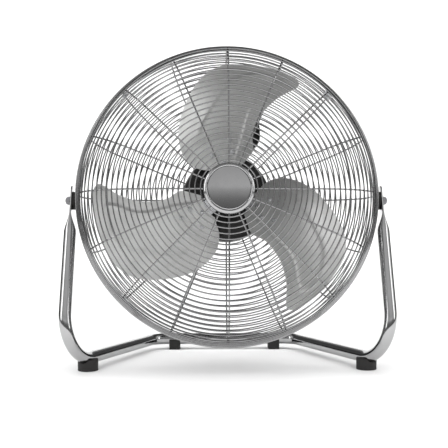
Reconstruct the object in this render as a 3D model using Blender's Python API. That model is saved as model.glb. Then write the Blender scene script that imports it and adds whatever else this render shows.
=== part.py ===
"""Tilting floor fan: a chrome wire cage with three riveted blades, hung in a bent tube stand.

Metres, +Z up. The fan blows towards -Y. The head parts hang from an empty on the tilt axis, and
the blades and the motor's rotor hang from an empty on the fan axis.
"""

import math

import bmesh
import bpy
from mathutils import Euler, Matrix, Vector

# Where the head hangs
PIVOT_Y = -0.029525
PIVOT_Z = 0.292
REST_TILT = math.radians(7.0)
AXIS_RISE = 0.006
GAP = 0.0003

# Stand tube: half of it, from the flattened end down to the middle of the rear bar
TUBE_RADIUS = 0.0108
END_X = 0.2735
END_ABOVE_PIVOT = 0.027
END_HALF_WIDTH = 0.016
END_HALF_THICKNESS = 0.0020
FLAT_BELOW_PIVOT = 0.025
ROUND_BELOW_PIVOT = 0.060
FRONT_CORNER = Vector((0.2756, -0.1207, 0.0218))
REAR_CORNER = Vector((0.1357, 0.184, 0.0196))
FRONT_BEND = 0.062
REAR_BEND = 0.036
TUBE_SIDES = 12

# Feet
FRONT_FOOT_X = 0.2412
FRONT_FOOT_RADIUS = 0.0176
FRONT_FOOT_HEIGHT = 0.0205
REAR_FOOT_X = 0.097
REAR_FOOT_SIZE = (0.0215, 0.030, 0.0196)

# Tilt clamps, as distances from the middle of the fan
BRACKET = (0.2617, 0.2644)
STUD_FLANGE = (0.2647, 0.2658)
SPACER = (0.2661, 0.2711)
KNOB = (0.2758, 0.2850)
STUD_RADIUS = 0.0030
KNOB_RADIUS = 0.0076
SPACER_RADIUS = 0.0160

# Cage: each guard is a ring section every few centimetres, joined by 16 spokes
SPOKES = 16
SPOKE_WIDTH = 0.0036
RING_WIDTH = 0.0040
WIRE_THICKNESS = 0.0028
FRONT_MERIDIAN = (
    (0.0380, -0.1250),
    (0.0930, -0.1243),
    (0.1480, -0.1217),
    (0.2000, -0.1155),
    (0.2320, -0.0990),
    (0.2500, -0.0760),
    (0.2605, -0.0385),
)
REAR_MERIDIAN = (
    (0.0520, 0.0510),
    (0.1000, 0.0505),
    (0.1560, 0.0480),
    (0.2080, 0.0415),
    (0.2400, 0.0260),
    (0.2545, 0.0060),
    (0.2600, -0.0170),
)
HOOP = (0.2580, 0.2640, -0.0355, -0.0200)
CLIP_ANGLES = (45.0, 135.0, 225.0, 315.0)
CLIP_RADIUS = 0.2515

# Centre cap
CAP_RADIUS = 0.0426
CAP_FACE_RADIUS = 0.0358
CAP_FRONT = -0.1345
CAP_BACK = -0.1268

# Blades: radius, then the angles of the trailing and the leading edge
BLADES = 3
BLADE_OUTLINE = (
    (0.046, -54.0, 1.0),
    (0.0625, -59.0, 15.0),
    (0.081, -61.0, 19.5),
    (0.104, -53.5, 17.5),
    (0.139, -53.0, 8.0),
    (0.179, -57.5, -6.0),
    (0.216, -63.5, -18.8),
    (0.229, -60.5, -28.0),
)
BLADE_TURN = 120.0
BLADE_THICKNESS = 0.0016
BLADE_Y = -0.058
ROOT_PITCH = math.radians(28.0)
TIP_PITCH = math.radians(16.0)
RIVET_SPOTS = ((0.055, 0.0), (0.0705, -15.5))
RIVET_RADIUS = 0.0022

# Hub, shaft and motor
HUB_RADIUS = 0.0205
HUB = (-0.0760, -0.0300)
ARM_REACH = 0.098
SHAFT_RADIUS = 0.0040
SHAFT = (-0.0740, 0.0420)
MOTOR_RADIUS = 0.0770
MOTOR = (-0.0060, 0.0483)
MOTOR_JOIN = 0.0215
MOTOR_WALL = 0.0026
STATOR = (0.0450, 0.0738, 0.0110, 0.0380)
ROTOR_CORE = (0.0435, 0.0120, 0.0370)
BEARING_RADIUS = 0.0110
PLATE = (0.0530, 0.0552)
PLATE_RADIUS = 0.0725
MOTOR_SCREW_CIRCLE = 0.0600
MOTOR_SCREW_ANGLE = 33.75

# Control box, outside the rear guard and above the motor
BOX_OUTLINE = (
    (-0.0455, 0.089),
    (0.0455, 0.089),
    (0.0630, 0.112),
    (0.0630, 0.139),
    (0.0540, 0.156),
    (-0.0540, 0.156),
    (-0.0630, 0.139),
    (-0.0630, 0.112),
)
BOX = (0.0540, 0.0940)
BOX_WALL = 0.0025
COVER_THICKNESS = 0.0025
SWITCH = (0.000, 0.126)
GLAND_X = -0.026

PIVOT = Vector((0.0, PIVOT_Y, PIVOT_Z))


# ---------------------------------------------------------------- scene and materials


def clear_scene():
    for item in list(bpy.data.objects):
        bpy.data.objects.remove(item, do_unlink=True)


def principled(name, colour, roughness, metallic=0.0):
    material = bpy.data.materials.new(name)
    material.use_nodes = True
    shader = material.node_tree.nodes["Principled BSDF"]
    shader.inputs["Base Color"].default_value = (*colour, 1.0)
    shader.inputs["Roughness"].default_value = roughness
    shader.inputs["Metallic"].default_value = metallic
    material.diffuse_color = (*colour, 1.0)
    return material


def make_materials():
    return {
        "chrome": principled("chrome", (0.72, 0.73, 0.75), 0.08, 1.0),
        "hoop": principled("plated_hoop", (0.66, 0.67, 0.69), 0.25, 1.0),
        "aluminium": principled("satin_aluminium", (0.58, 0.59, 0.60), 0.38, 1.0),
        "steel": principled("bright_steel", (0.55, 0.56, 0.58), 0.30, 1.0),
        "core": principled("core_laminations", (0.20, 0.20, 0.22), 0.50, 1.0),
        "black": principled("black_paint", (0.012, 0.012, 0.013), 0.40),
        "rubber": principled("black_rubber", (0.025, 0.024, 0.024), 0.75),
        "plastic": principled("black_plastic", (0.018, 0.018, 0.019), 0.45),
        "knob": principled("grey_knob", (0.20, 0.20, 0.21), 0.35),
        "capacitor": principled("capacitor_case", (0.035, 0.035, 0.040), 0.50),
    }


def empty(name, location, rotation=(0.0, 0.0, 0.0), parent=None):
    item = bpy.data.objects.new(name, None)
    item.location = location
    item.rotation_euler = rotation
    item.parent = parent
    bpy.context.scene.collection.objects.link(item)
    return item


def finish(bm, name, material, parent=None, location=(0, 0, 0), rotation=(0, 0, 0), helper=False):
    """Turns the bmesh into a named object."""
    bmesh.ops.remove_doubles(bm, verts=bm.verts, dist=1e-6)
    bmesh.ops.recalc_face_normals(bm, faces=bm.faces)
    mesh = bpy.data.meshes.new(name)
    bm.to_mesh(mesh)
    bm.free()
    if material is not None:
        mesh.materials.append(material)
    item = bpy.data.objects.new(name, mesh)
    item.location = location
    item.rotation_euler = rotation
    item.parent = parent
    item.hide_render = helper
    item.hide_viewport = helper
    bpy.context.scene.collection.objects.link(item)
    return item


def boolean(item, other, operation="DIFFERENCE"):
    modifier = item.modifiers.new(other.name, "BOOLEAN")
    modifier.operation = operation
    modifier.solver = "EXACT"
    modifier.object = other


# ---------------------------------------------------------------- shape helpers


def revolved(profile, segments):
    """Spins a (radius, y) profile about Y. It is a closed loop unless it starts on the axis."""
    bm = bmesh.new()
    verts = [bm.verts.new((radius, y, 0.0)) for radius, y in profile]
    edges = [bm.edges.new(pair) for pair in zip(verts, verts[1:])]
    if profile[0][0] > 0.0:
        edges.append(bm.edges.new((verts[-1], verts[0])))
    bmesh.ops.spin(
        bm,
        geom=verts + edges,
        cent=(0.0, 0.0, 0.0),
        axis=(0.0, 1.0, 0.0),
        angle=math.tau,
        steps=segments,
    )
    return bm


def cylinder(radius, low, high, segments=24):
    return revolved([(0.0, low), (radius, low), (radius, high), (0.0, high)], segments)


def ring(inner, outer, low, high, segments=32):
    return revolved([(inner, low), (outer, low), (outer, high), (inner, high)], segments)


def box(size, centre=(0, 0, 0), bevel=0.0):
    bm = bmesh.new()
    bmesh.ops.create_cube(bm, size=1.0)
    bmesh.ops.scale(bm, vec=size, verts=bm.verts)
    bmesh.ops.translate(bm, vec=centre, verts=bm.verts)
    if bevel:
        bmesh.ops.bevel(bm, geom=list(bm.edges), offset=bevel, segments=2, affect="EDGES")
    return bm


def prism(outline, low, high):
    """A flat outline in X and Z, extruded from y = low to y = high."""
    bm = bmesh.new()
    verts = [bm.verts.new((x, low, z)) for x, z in outline]
    face = bm.faces.new(verts)
    extruded = bmesh.ops.extrude_face_region(bm, geom=[face])
    moved = [part for part in extruded["geom"] if isinstance(part, bmesh.types.BMVert)]
    bmesh.ops.translate(bm, vec=(0.0, high - low, 0.0), verts=moved)
    return bm


def inset_outline(outline, inset):
    """Moves each side of a convex outline inwards."""
    count = len(outline)
    middle = sum((Vector(point) for point in outline), Vector((0.0, 0.0))) / count
    lines = []
    for index in range(count):
        start = Vector(outline[index])
        along = (Vector(outline[(index + 1) % count]) - start).normalized()
        inward = Vector((-along.y, along.x))
        if inward.dot(middle - start) < 0.0:
            inward = -inward
        lines.append((start + inward * inset, along))
    corners = []
    for index in range(count):
        start, along = lines[index - 1]
        other, other_along = lines[index]
        cross = along.x * other_along.y - along.y * other_along.x
        offset = other - start
        step = (offset.x * other_along.y - offset.y * other_along.x) / cross
        corners.append(tuple(start + along * step))
    return corners


def smooth(value):
    value = min(max(value, 0.0), 1.0)
    return value * value * (3.0 - 2.0 * value)


def catmull(points, position):
    """A smooth value along evenly numbered control tuples, with position from 0 to len - 1."""
    last = len(points) - 1
    index = min(int(position), last - 1)
    part = position - index
    near = [points[min(max(index + step, 0), last)] for step in (-1, 0, 1, 2)]
    values = []
    for before, start, end, after in zip(*near):
        values.append(
            0.5
            * (
                2.0 * start
                + (end - before) * part
                + (2.0 * before - 5.0 * start + 4.0 * end - after) * part**2
                + (3.0 * start - before - 3.0 * end + after) * part**3
            )
        )
    return values


# ---------------------------------------------------------------- stand


def bend(before, corner, after, radius, steps):
    """Points of the arc that rounds a corner, with the turn's radius."""
    first = (before - corner).normalized()
    second = (after - corner).normalized()
    half = first.angle(second) / 2.0
    centre = corner + (first + second).normalized() * (radius / math.sin(half))
    start = corner + first * (radius / math.tan(half)) - centre
    end = corner + second * (radius / math.tan(half)) - centre
    turn = start.angle(end)
    points = []
    for step in range(steps + 1):
        angle = turn * step / steps
        weight = (math.sin(turn - angle) / math.sin(turn), math.sin(angle) / math.sin(turn))
        points.append(centre + start * weight[0] + end * weight[1])
    return points


def stand_stations():
    """The half tube's stations: middle point, half width and half thickness."""
    pivot = Vector((END_X, 0.0, PIVOT_Z))
    down = (FRONT_CORNER - pivot).normalized()
    flat = (END_HALF_WIDTH, END_HALF_THICKNESS)
    above = -END_ABOVE_PIVOT
    stations = [
        (pivot + down * above, 0.009, flat[1]),
        (pivot + down * (above + 0.0025), 0.0135, flat[1]),
        (pivot + down * (above + 0.009), *flat),
        (pivot + down * FLAT_BELOW_PIVOT, *flat),
    ]
    for step in (0.35, 0.65, 1.0):
        part = smooth(step)
        run = FLAT_BELOW_PIVOT + (ROUND_BELOW_PIVOT - FLAT_BELOW_PIVOT) * step
        width = END_HALF_WIDTH + (TUBE_RADIUS - END_HALF_WIDTH) * part
        thickness = END_HALF_THICKNESS + (TUBE_RADIUS - END_HALF_THICKNESS) * part
        stations.append((pivot + down * run, width, thickness))
    middle = Vector((0.0, REAR_CORNER.y, REAR_CORNER.z))
    path = bend(pivot, FRONT_CORNER, REAR_CORNER, FRONT_BEND, 10)
    path += bend(FRONT_CORNER, REAR_CORNER, middle, REAR_BEND, 5)
    path.append(middle)
    stations += [(point, TUBE_RADIUS, TUBE_RADIUS) for point in path]
    return stations


def mirrored(point):
    return Vector((-point.x, point.y, point.z))


def stand_tube(material):
    stations = stand_stations()
    points = [station[0] for station in stations]
    points.append(mirrored(points[-2]))
    across = Vector((1.0, 0.0, 0.0))
    rings = []
    for index, (point, width, thickness) in enumerate(stations):
        along = (points[index + 1] - points[max(index - 1, 0)]).normalized()
        across = (across - along * across.dot(along)).normalized()
        side = along.cross(across)
        squareness = 1.0 - 0.65 * (1.0 - thickness / TUBE_RADIUS)
        spots = []
        for step in range(TUBE_SIDES):
            angle = math.tau * step / TUBE_SIDES
            wide = math.copysign(abs(math.cos(angle)) ** squareness, math.cos(angle))
            thick = math.copysign(abs(math.sin(angle)) ** squareness, math.sin(angle))
            spots.append(point + side * width * wide + across * thickness * thick)
        rings.append(spots)
    rings += [[mirrored(spot) for spot in spots] for spots in rings[-2::-1]]
    bm = bmesh.new()
    loops = [[bm.verts.new(spot) for spot in spots] for spots in rings]
    for near, far in zip(loops, loops[1:]):
        for step in range(TUBE_SIDES):
            nxt = (step + 1) % TUBE_SIDES
            bm.faces.new((near[step], near[nxt], far[nxt], far[step]))
    bm.faces.new(loops[0])
    bm.faces.new(loops[-1])
    tube = finish(bm, "stand_tube", material, location=(0.0, PIVOT_Y, 0.0))
    drill = finish(
        cylinder(STUD_RADIUS + 0.0004, -0.30, 0.30, 16),
        "stand_pivot_drill",
        None,
        location=PIVOT,
        rotation=(0.0, 0.0, -math.pi / 2.0),
        helper=True,
    )
    boolean(tube, drill)
    return tube


def front_feet(materials):
    pivot = Vector((END_X, 0.0, PIVOT_Z))
    along = (REAR_CORNER - FRONT_CORNER).normalized()
    reach = (FRONT_CORNER.x - FRONT_FOOT_X) / -along.x
    spot = FRONT_CORNER + along * reach
    arc = bend(pivot, FRONT_CORNER, REAR_CORNER, FRONT_BEND, 24)
    near = min(arc + [spot], key=lambda point: abs(point.x - FRONT_FOOT_X) + 0.2 * point.z)
    for name, side in (("left", -1.0), ("right", 1.0)):
        place = Vector((side * near.x, near.y + PIVOT_Y, 0.0))
        bm = revolved(
            [
                (0.0, 0.0),
                (FRONT_FOOT_RADIUS - 0.001, 0.0),
                (FRONT_FOOT_RADIUS, 0.001),
                (FRONT_FOOT_RADIUS - 0.0008, FRONT_FOOT_HEIGHT),
                (0.0, FRONT_FOOT_HEIGHT),
            ],
            20,
        )
        foot = finish(
            bm,
            f"front_foot_{name}",
            materials["rubber"],
            location=place,
            rotation=(math.pi / 2.0, 0.0, 0.0),
        )
        groove = finish(
            tube_cutter(side),
            f"front_foot_{name}_groove",
            None,
            location=(0.0, PIVOT_Y, 0.0),
            helper=True,
        )
        boolean(foot, groove)


def tube_cutter(side):
    """The tube's front bend, slightly larger, for the groove in a foot."""
    pivot = Vector((END_X, 0.0, PIVOT_Z))
    arc = bend(pivot, FRONT_CORNER, REAR_CORNER, FRONT_BEND, 10)
    along = (REAR_CORNER - FRONT_CORNER).normalized()
    points = [arc[0] + (pivot - FRONT_CORNER).normalized() * 0.03] + arc
    points.append(arc[-1] + along * 0.06)
    points = [Vector((point.x * side, point.y, point.z)) for point in points]
    bm = bmesh.new()
    across = Vector((1.0, 0.0, 0.0))
    loops = []
    radius = TUBE_RADIUS + GAP + 0.0002
    for index, point in enumerate(points):
        before = points[max(index - 1, 0)]
        after = points[min(index + 1, len(points) - 1)]
        axis = (after - before).normalized()
        across = (across - axis * across.dot(axis)).normalized()
        other = axis.cross(across)
        spots = [math.tau * step / 24 for step in range(24)]
        loops.append(
            [
                bm.verts.new(point + (other * math.cos(a) + across * math.sin(a)) * radius)
                for a in spots
            ]
        )
    for near, far in zip(loops, loops[1:]):
        for step in range(24):
            nxt = (step + 1) % 24
            bm.faces.new((near[step], near[nxt], far[nxt], far[step]))
    bm.faces.new(loops[0])
    bm.faces.new(loops[-1])
    return bm


def rear_feet(materials):
    width, depth, height = REAR_FOOT_SIZE
    groove = finish(
        cylinder(TUBE_RADIUS + GAP + 0.0002, -0.2, 0.2, 32),
        "rear_foot_groove",
        None,
        location=(0.0, REAR_CORNER.y + PIVOT_Y, REAR_CORNER.z),
        rotation=(0.0, 0.0, -math.pi / 2.0),
        helper=True,
    )
    for name, side in (("left", -1.0), ("right", 1.0)):
        foot = finish(
            box((width, depth, height), (0.0, 0.0, height / 2.0), 0.002),
            f"rear_foot_{name}",
            materials["rubber"],
            location=(side * REAR_FOOT_X, REAR_CORNER.y + PIVOT_Y, 0.0),
        )
        boolean(foot, groove)


# ---------------------------------------------------------------- tilt clamps


def tilt_clamps(materials, head):
    for name, side in (("left", -1.0), ("right", 1.0)):
        turn = (0.0, 0.0, -side * math.pi / 2.0)
        thick = BRACKET[1] - BRACKET[0]
        middle = (BRACKET[0] + BRACKET[1]) / 2.0
        finish(
            box((thick, 0.025, 0.034), (side * middle, 0.0, 0.0), 0.0006),
            f"pivot_bracket_{name}",
            materials["steel"],
            head,
        )
        stud = [(0.0, STUD_FLANGE[0]), (0.0080, STUD_FLANGE[0]), (0.0080, STUD_FLANGE[1])]
        stud += [(STUD_RADIUS, STUD_FLANGE[1]), (STUD_RADIUS, KNOB[1] - 0.0030)]
        stud += [(0.0, KNOB[1] - 0.0030)]
        finish(revolved(stud, 12), f"pivot_stud_{name}", materials["steel"], head, rotation=turn)
        finish(
            revolved(
                [
                    (STUD_RADIUS + 0.0004, SPACER[0]),
                    (SPACER_RADIUS - 0.001, SPACER[0]),
                    (SPACER_RADIUS, SPACER[0] + 0.001),
                    (SPACER_RADIUS, SPACER[1] - 0.001),
                    (SPACER_RADIUS - 0.001, SPACER[1]),
                    (STUD_RADIUS + 0.0004, SPACER[1]),
                ],
                20,
            ),
            f"pivot_spacer_{name}",
            materials["rubber"],
            head,
            rotation=turn,
        )
        low, high = KNOB
        bore = STUD_RADIUS + GAP
        dome = [
            (KNOB_RADIUS * math.cos(angle), high - 0.0055 + 0.0055 * math.sin(angle))
            for angle in (0.0, 0.6, 1.15)
        ]
        knob = [(0.0, high - 0.0027), (bore, high - 0.0027), (bore, low)]
        knob += [(KNOB_RADIUS - 0.0006, low), (KNOB_RADIUS, low + 0.0006)] + dome
        knob += [(0.0, high)]
        finish(revolved(knob, 16), f"pivot_knob_{name}", materials["knob"], head, rotation=turn)


# ---------------------------------------------------------------- cage


def lattice(meridian):
    """A closed wire-guard shell: rings at the meridian's points, joined by the spokes."""
    count = len(meridian)
    bm = bmesh.new()
    stations = []
    for index, (radius, y) in enumerate(meridian):
        before = Vector(meridian[max(index - 1, 0)])
        after = Vector(meridian[min(index + 1, count - 1)])
        along = (after - before).normalized()
        across = Vector((-along.y, along.x))
        middle = Vector((radius, y))
        for shift in (-RING_WIDTH / 2.0, RING_WIDTH / 2.0):
            stations.append((middle + along * shift, across * (WIRE_THICKNESS / 2.0)))
    skins = {}
    for skin in (-1, 1):
        for row, (spot, offset) in enumerate(stations):
            place = spot + offset * skin
            half = math.asin(SPOKE_WIDTH / 2.0 / spot.x)
            for spoke in range(SPOKES):
                start = math.tau * spoke / SPOKES
                for part, angle in enumerate((start - half, start + half, start + math.pi / SPOKES)):
                    point = (place.x * math.cos(angle), place.y, place.x * math.sin(angle))
                    skins[skin, row, spoke * 3 + part] = bm.verts.new(point)
    columns = SPOKES * 3
    rows = len(stations)

    def solid(row, column):
        return 0 <= row < rows - 1 and (row % 2 == 0 or column % 3 == 0)

    for row in range(rows):
        for column in range(columns):
            nxt = (column + 1) % columns
            if solid(row, column):
                for skin in (-1, 1):
                    corners = ((row, column), (row, nxt), (row + 1, nxt), (row + 1, column))
                    bm.faces.new([skins[skin, r, c] for r, c in corners])
                if not solid(row, nxt):
                    ends = ((-1, row), (1, row), (1, row + 1), (-1, row + 1))
                    bm.faces.new([skins[skin, r, nxt] for skin, r in ends])
                if not solid(row, column - 1 if column else columns - 1):
                    ends = ((-1, row), (1, row), (1, row + 1), (-1, row + 1))
                    bm.faces.new([skins[skin, r, column] for skin, r in ends])
            if solid(row, column) != solid(row - 1, column):
                ends = ((-1, column), (1, column), (1, nxt), (-1, nxt))
                bm.faces.new([skins[skin, row, c] for skin, c in ends])
    return bm


def cage(materials, fan):
    finish(lattice(FRONT_MERIDIAN), "front_guard", materials["chrome"], fan)
    finish(lattice(REAR_MERIDIAN), "rear_guard", materials["chrome"], fan)
    inner, outer, low, high = HOOP
    edge = 0.0015
    finish(
        revolved(
            [
                (inner, low),
                (outer - edge, low),
                (outer, low + edge),
                (outer, high - edge),
                (outer - edge, high),
                (inner, high),
            ],
            64,
        ),
        "rim_hoop",
        materials["hoop"],
        fan,
    )
    for number, angle in enumerate(CLIP_ANGLES, 1):
        turn = (0.0, -math.radians(angle), 0.0)
        middle = (low + high) / 2.0
        clip = finish(
            box((0.002, 0.034, 0.016), (CLIP_RADIUS, middle, 0.0), 0.0004),
            f"guard_clip_{number}",
            materials["steel"],
            fan,
            rotation=turn,
        )
        drill = finish(
            cylinder(0.0019, 0.2450, 0.2560, 10),
            f"guard_clip_drill_{number}",
            None,
            fan,
            location=(0.0, middle, 0.0),
            rotation=screw_turn(angle),
            helper=True,
        )
        boolean(clip, drill)
        screw = [(0.0, 0.2470), (0.0034, 0.2470), (0.0034, 0.2501), (0.0016, 0.2501)]
        screw += [(0.0016, 0.2576), (0.0, 0.2576)]
        finish(
            revolved(screw, 10),
            f"guard_clip_screw_{number}",
            materials["steel"],
            fan,
            location=(0.0, middle, 0.0),
            rotation=screw_turn(angle),
        )


def screw_turn(angle):
    """Turns an object's Y axis to point outwards from the fan axis, at this angle from +X."""
    outwards = Vector((math.cos(math.radians(angle)), 0.0, math.sin(math.radians(angle))))
    return Vector((0.0, 1.0, 0.0)).rotation_difference(outwards).to_euler()


def centre_cap(materials, fan):
    bead = CAP_FACE_RADIUS
    profile = [
        (0.0, CAP_FRONT + 0.0010),
        (bead - 0.0015, CAP_FRONT + 0.0022),
        (bead, CAP_FRONT + 0.0022),
        (bead + 0.0008, CAP_FRONT + 0.0005),
        (bead + 0.0022, CAP_FRONT),
        (bead + 0.0038, CAP_FRONT + 0.0008),
        (CAP_RADIUS, CAP_FRONT + 0.0040),
        (CAP_RADIUS, CAP_BACK),
        (0.0030, CAP_BACK),
        (0.0030, CAP_BACK - 0.0040),
        (0.0, CAP_BACK - 0.0040),
    ]
    finish(revolved(profile, 36), "centre_cap", materials["chrome"], fan)
    plate_low, plate_high = -0.1232, -0.1212
    finish(
        ring(0.0032, 0.0400, plate_low, plate_high, 24), "cap_back_plate", materials["steel"], fan
    )
    screw = [(0.0, -0.1178), (0.0050, -0.1178), (0.0050, -0.1209), (0.0026, -0.1209)]
    screw += [(0.0026, -0.1304), (0.0, -0.1304)]
    finish(revolved(screw, 12), "cap_screw", materials["steel"], fan)


# ---------------------------------------------------------------- blades


def blade_edges(position):
    radius, trailing, leading = catmull(BLADE_OUTLINE, position)
    return radius, math.radians(trailing), math.radians(leading)


def pitch_at(radius):
    part = (radius - BLADE_OUTLINE[0][0]) / (BLADE_OUTLINE[-1][0] - BLADE_OUTLINE[0][0])
    return ROOT_PITCH + (TIP_PITCH - ROOT_PITCH) * min(max(part, 0.0), 1.0)


def middle_at(radius):
    """The angle of the blade's middle line."""
    low, high = 0.0, len(BLADE_OUTLINE) - 1.0
    for _ in range(30):
        trial = (low + high) / 2.0
        if catmull(BLADE_OUTLINE, trial)[0] < radius:
            low = trial
        else:
            high = trial
    _, trailing, leading = blade_edges(low)
    return (trailing + leading) / 2.0


def blade_y(radius, angle):
    """The blade's mid surface: the leading edge lies towards the motor."""
    across = (angle - middle_at(radius)) * radius
    camber = 0.13 * across * across / max(radius, 0.06)
    return BLADE_Y + across * math.tan(pitch_at(radius)) + camber


def blade_normal(radius, angle):
    """The way that the blade's back faces at this spot."""
    step = 0.0005
    outwards = Vector((math.cos(angle), 0.0, math.sin(angle)))
    around = Vector((-math.sin(angle), 0.0, math.cos(angle)))
    rise_out = (blade_y(radius + step, angle) - blade_y(radius - step, angle)) / (2.0 * step)
    turn = step / radius
    rise_around = (blade_y(radius, angle + turn) - blade_y(radius, angle - turn)) / (2.0 * step)
    return (Vector((0.0, 1.0, 0.0)) - outwards * rise_out - around * rise_around).normalized()


def surface_slab(rows, offset, thickness):
    """A closed plate from rows of (radius, angle), thick along Y and shifted from the blade."""
    bm = bmesh.new()
    skins = []
    for side in (-0.5, 0.5):
        grid = []
        for row in rows:
            line = []
            for radius, angle in row:
                y = blade_y(radius, angle) + offset + side * thickness
                line.append(bm.verts.new((radius * math.cos(angle), y, radius * math.sin(angle))))
            grid.append(line)
        skins.append(grid)
    last_row = len(rows) - 1
    last = len(rows[0]) - 1
    for grid in skins:
        for row in range(last_row):
            for column in range(last):
                bm.faces.new(
                    (
                        grid[row][column],
                        grid[row][column + 1],
                        grid[row + 1][column + 1],
                        grid[row + 1][column],
                    )
                )
    border = [(0, column) for column in range(last)]
    border += [(row, last) for row in range(last_row)]
    border += [(last_row, column) for column in range(last, 0, -1)]
    border += [(row, 0) for row in range(last_row, 0, -1)]
    for index, (row, column) in enumerate(border):
        next_row, next_column = border[(index + 1) % len(border)]
        near, far = skins
        bm.faces.new(
            (
                near[row][column],
                near[next_row][next_column],
                far[next_row][next_column],
                far[row][column],
            )
        )
    return bm


def blade_mesh():
    rows = []
    steps = 14
    for row in range(steps + 1):
        position = row * (len(BLADE_OUTLINE) - 1) / steps
        radius, trailing, leading = blade_edges(position)
        rows.append([(radius, trailing + (leading - trailing) * part / 6.0) for part in range(7)])
    return surface_slab(rows, 0.0, BLADE_THICKNESS / math.cos(ROOT_PITCH) * 0.9)


def arm_mesh():
    thickness = 0.0022
    offset = BLADE_THICKNESS / 2.0 + GAP + thickness / 2.0 + 0.0010
    rows = []
    for row in range(9):
        radius = 0.012 + (ARM_REACH - 0.012) * row / 8.0
        middle = middle_at(max(radius, 0.052))
        width = 0.0125 + 0.0120 * smooth((radius - 0.045) / 0.020)
        half = min(width / radius, math.radians(48.0))
        rows.append([(radius, middle + half * side / 2.0) for side in (-2, -1, 0, 1, 2)])
    return surface_slab(rows, offset, thickness)


def blades(materials, rotor):
    drills = []
    for spot, (radius, degrees) in enumerate(RIVET_SPOTS):
        angle = middle_at(radius) + math.radians(degrees)
        place = Vector((radius * math.cos(angle), blade_y(radius, angle), radius * math.sin(angle)))
        drills.append((spot, place, blade_normal(radius, angle)))
    hub_profile = [
        (SHAFT_RADIUS + GAP, HUB[0]),
        (HUB_RADIUS - 0.002, HUB[0]),
        (HUB_RADIUS, HUB[0] + 0.002),
        (HUB_RADIUS, HUB[1]),
        (SHAFT_RADIUS + GAP, HUB[1]),
    ]
    hub = finish(revolved(hub_profile, 24), "blade_hub", materials["steel"], rotor)
    for number in range(1, BLADES + 1):
        turn = (0.0, -math.radians(BLADE_TURN * (number - 1)), 0.0)
        blade = finish(blade_mesh(), f"blade_{number}", materials["aluminium"], rotor, rotation=turn)
        arm = finish(arm_mesh(), f"hub_arm_{number}", None, rotor, rotation=turn, helper=True)
        boolean(hub, arm, "UNION")
        for spot, place, normal in drills:
            place = Euler(turn).to_matrix() @ place
            normal = Euler(turn).to_matrix() @ normal
            lean = Vector((0.0, 1.0, 0.0)).rotation_difference(normal).to_euler()
            drill = finish(
                cylinder(RIVET_RADIUS + GAP, -0.008, 0.010, 10),
                f"rivet_drill_{number}_{spot + 1}",
                None,
                rotor,
                location=place,
                rotation=lean,
                helper=True,
            )
            boolean(blade, drill)
            boolean(hub, drill)
            rivet = [(0.0, -0.0032), (0.0028, -0.0027), (0.0041, -0.0013)]
            rivet += [(RIVET_RADIUS, -0.0013), (RIVET_RADIUS, 0.0046), (0.0, 0.0046)]
            finish(
                revolved(rivet, 10),
                f"blade_rivet_{number}_{spot + 1}",
                materials["steel"],
                rotor,
                location=place,
                rotation=lean,
            )
    bore = finish(
        cylinder(SHAFT_RADIUS + GAP, HUB[0] - 0.01, HUB[1] + 0.03, 16),
        "hub_bore",
        None,
        rotor,
        helper=True,
    )
    boolean(hub, bore)


# ---------------------------------------------------------------- motor


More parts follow.
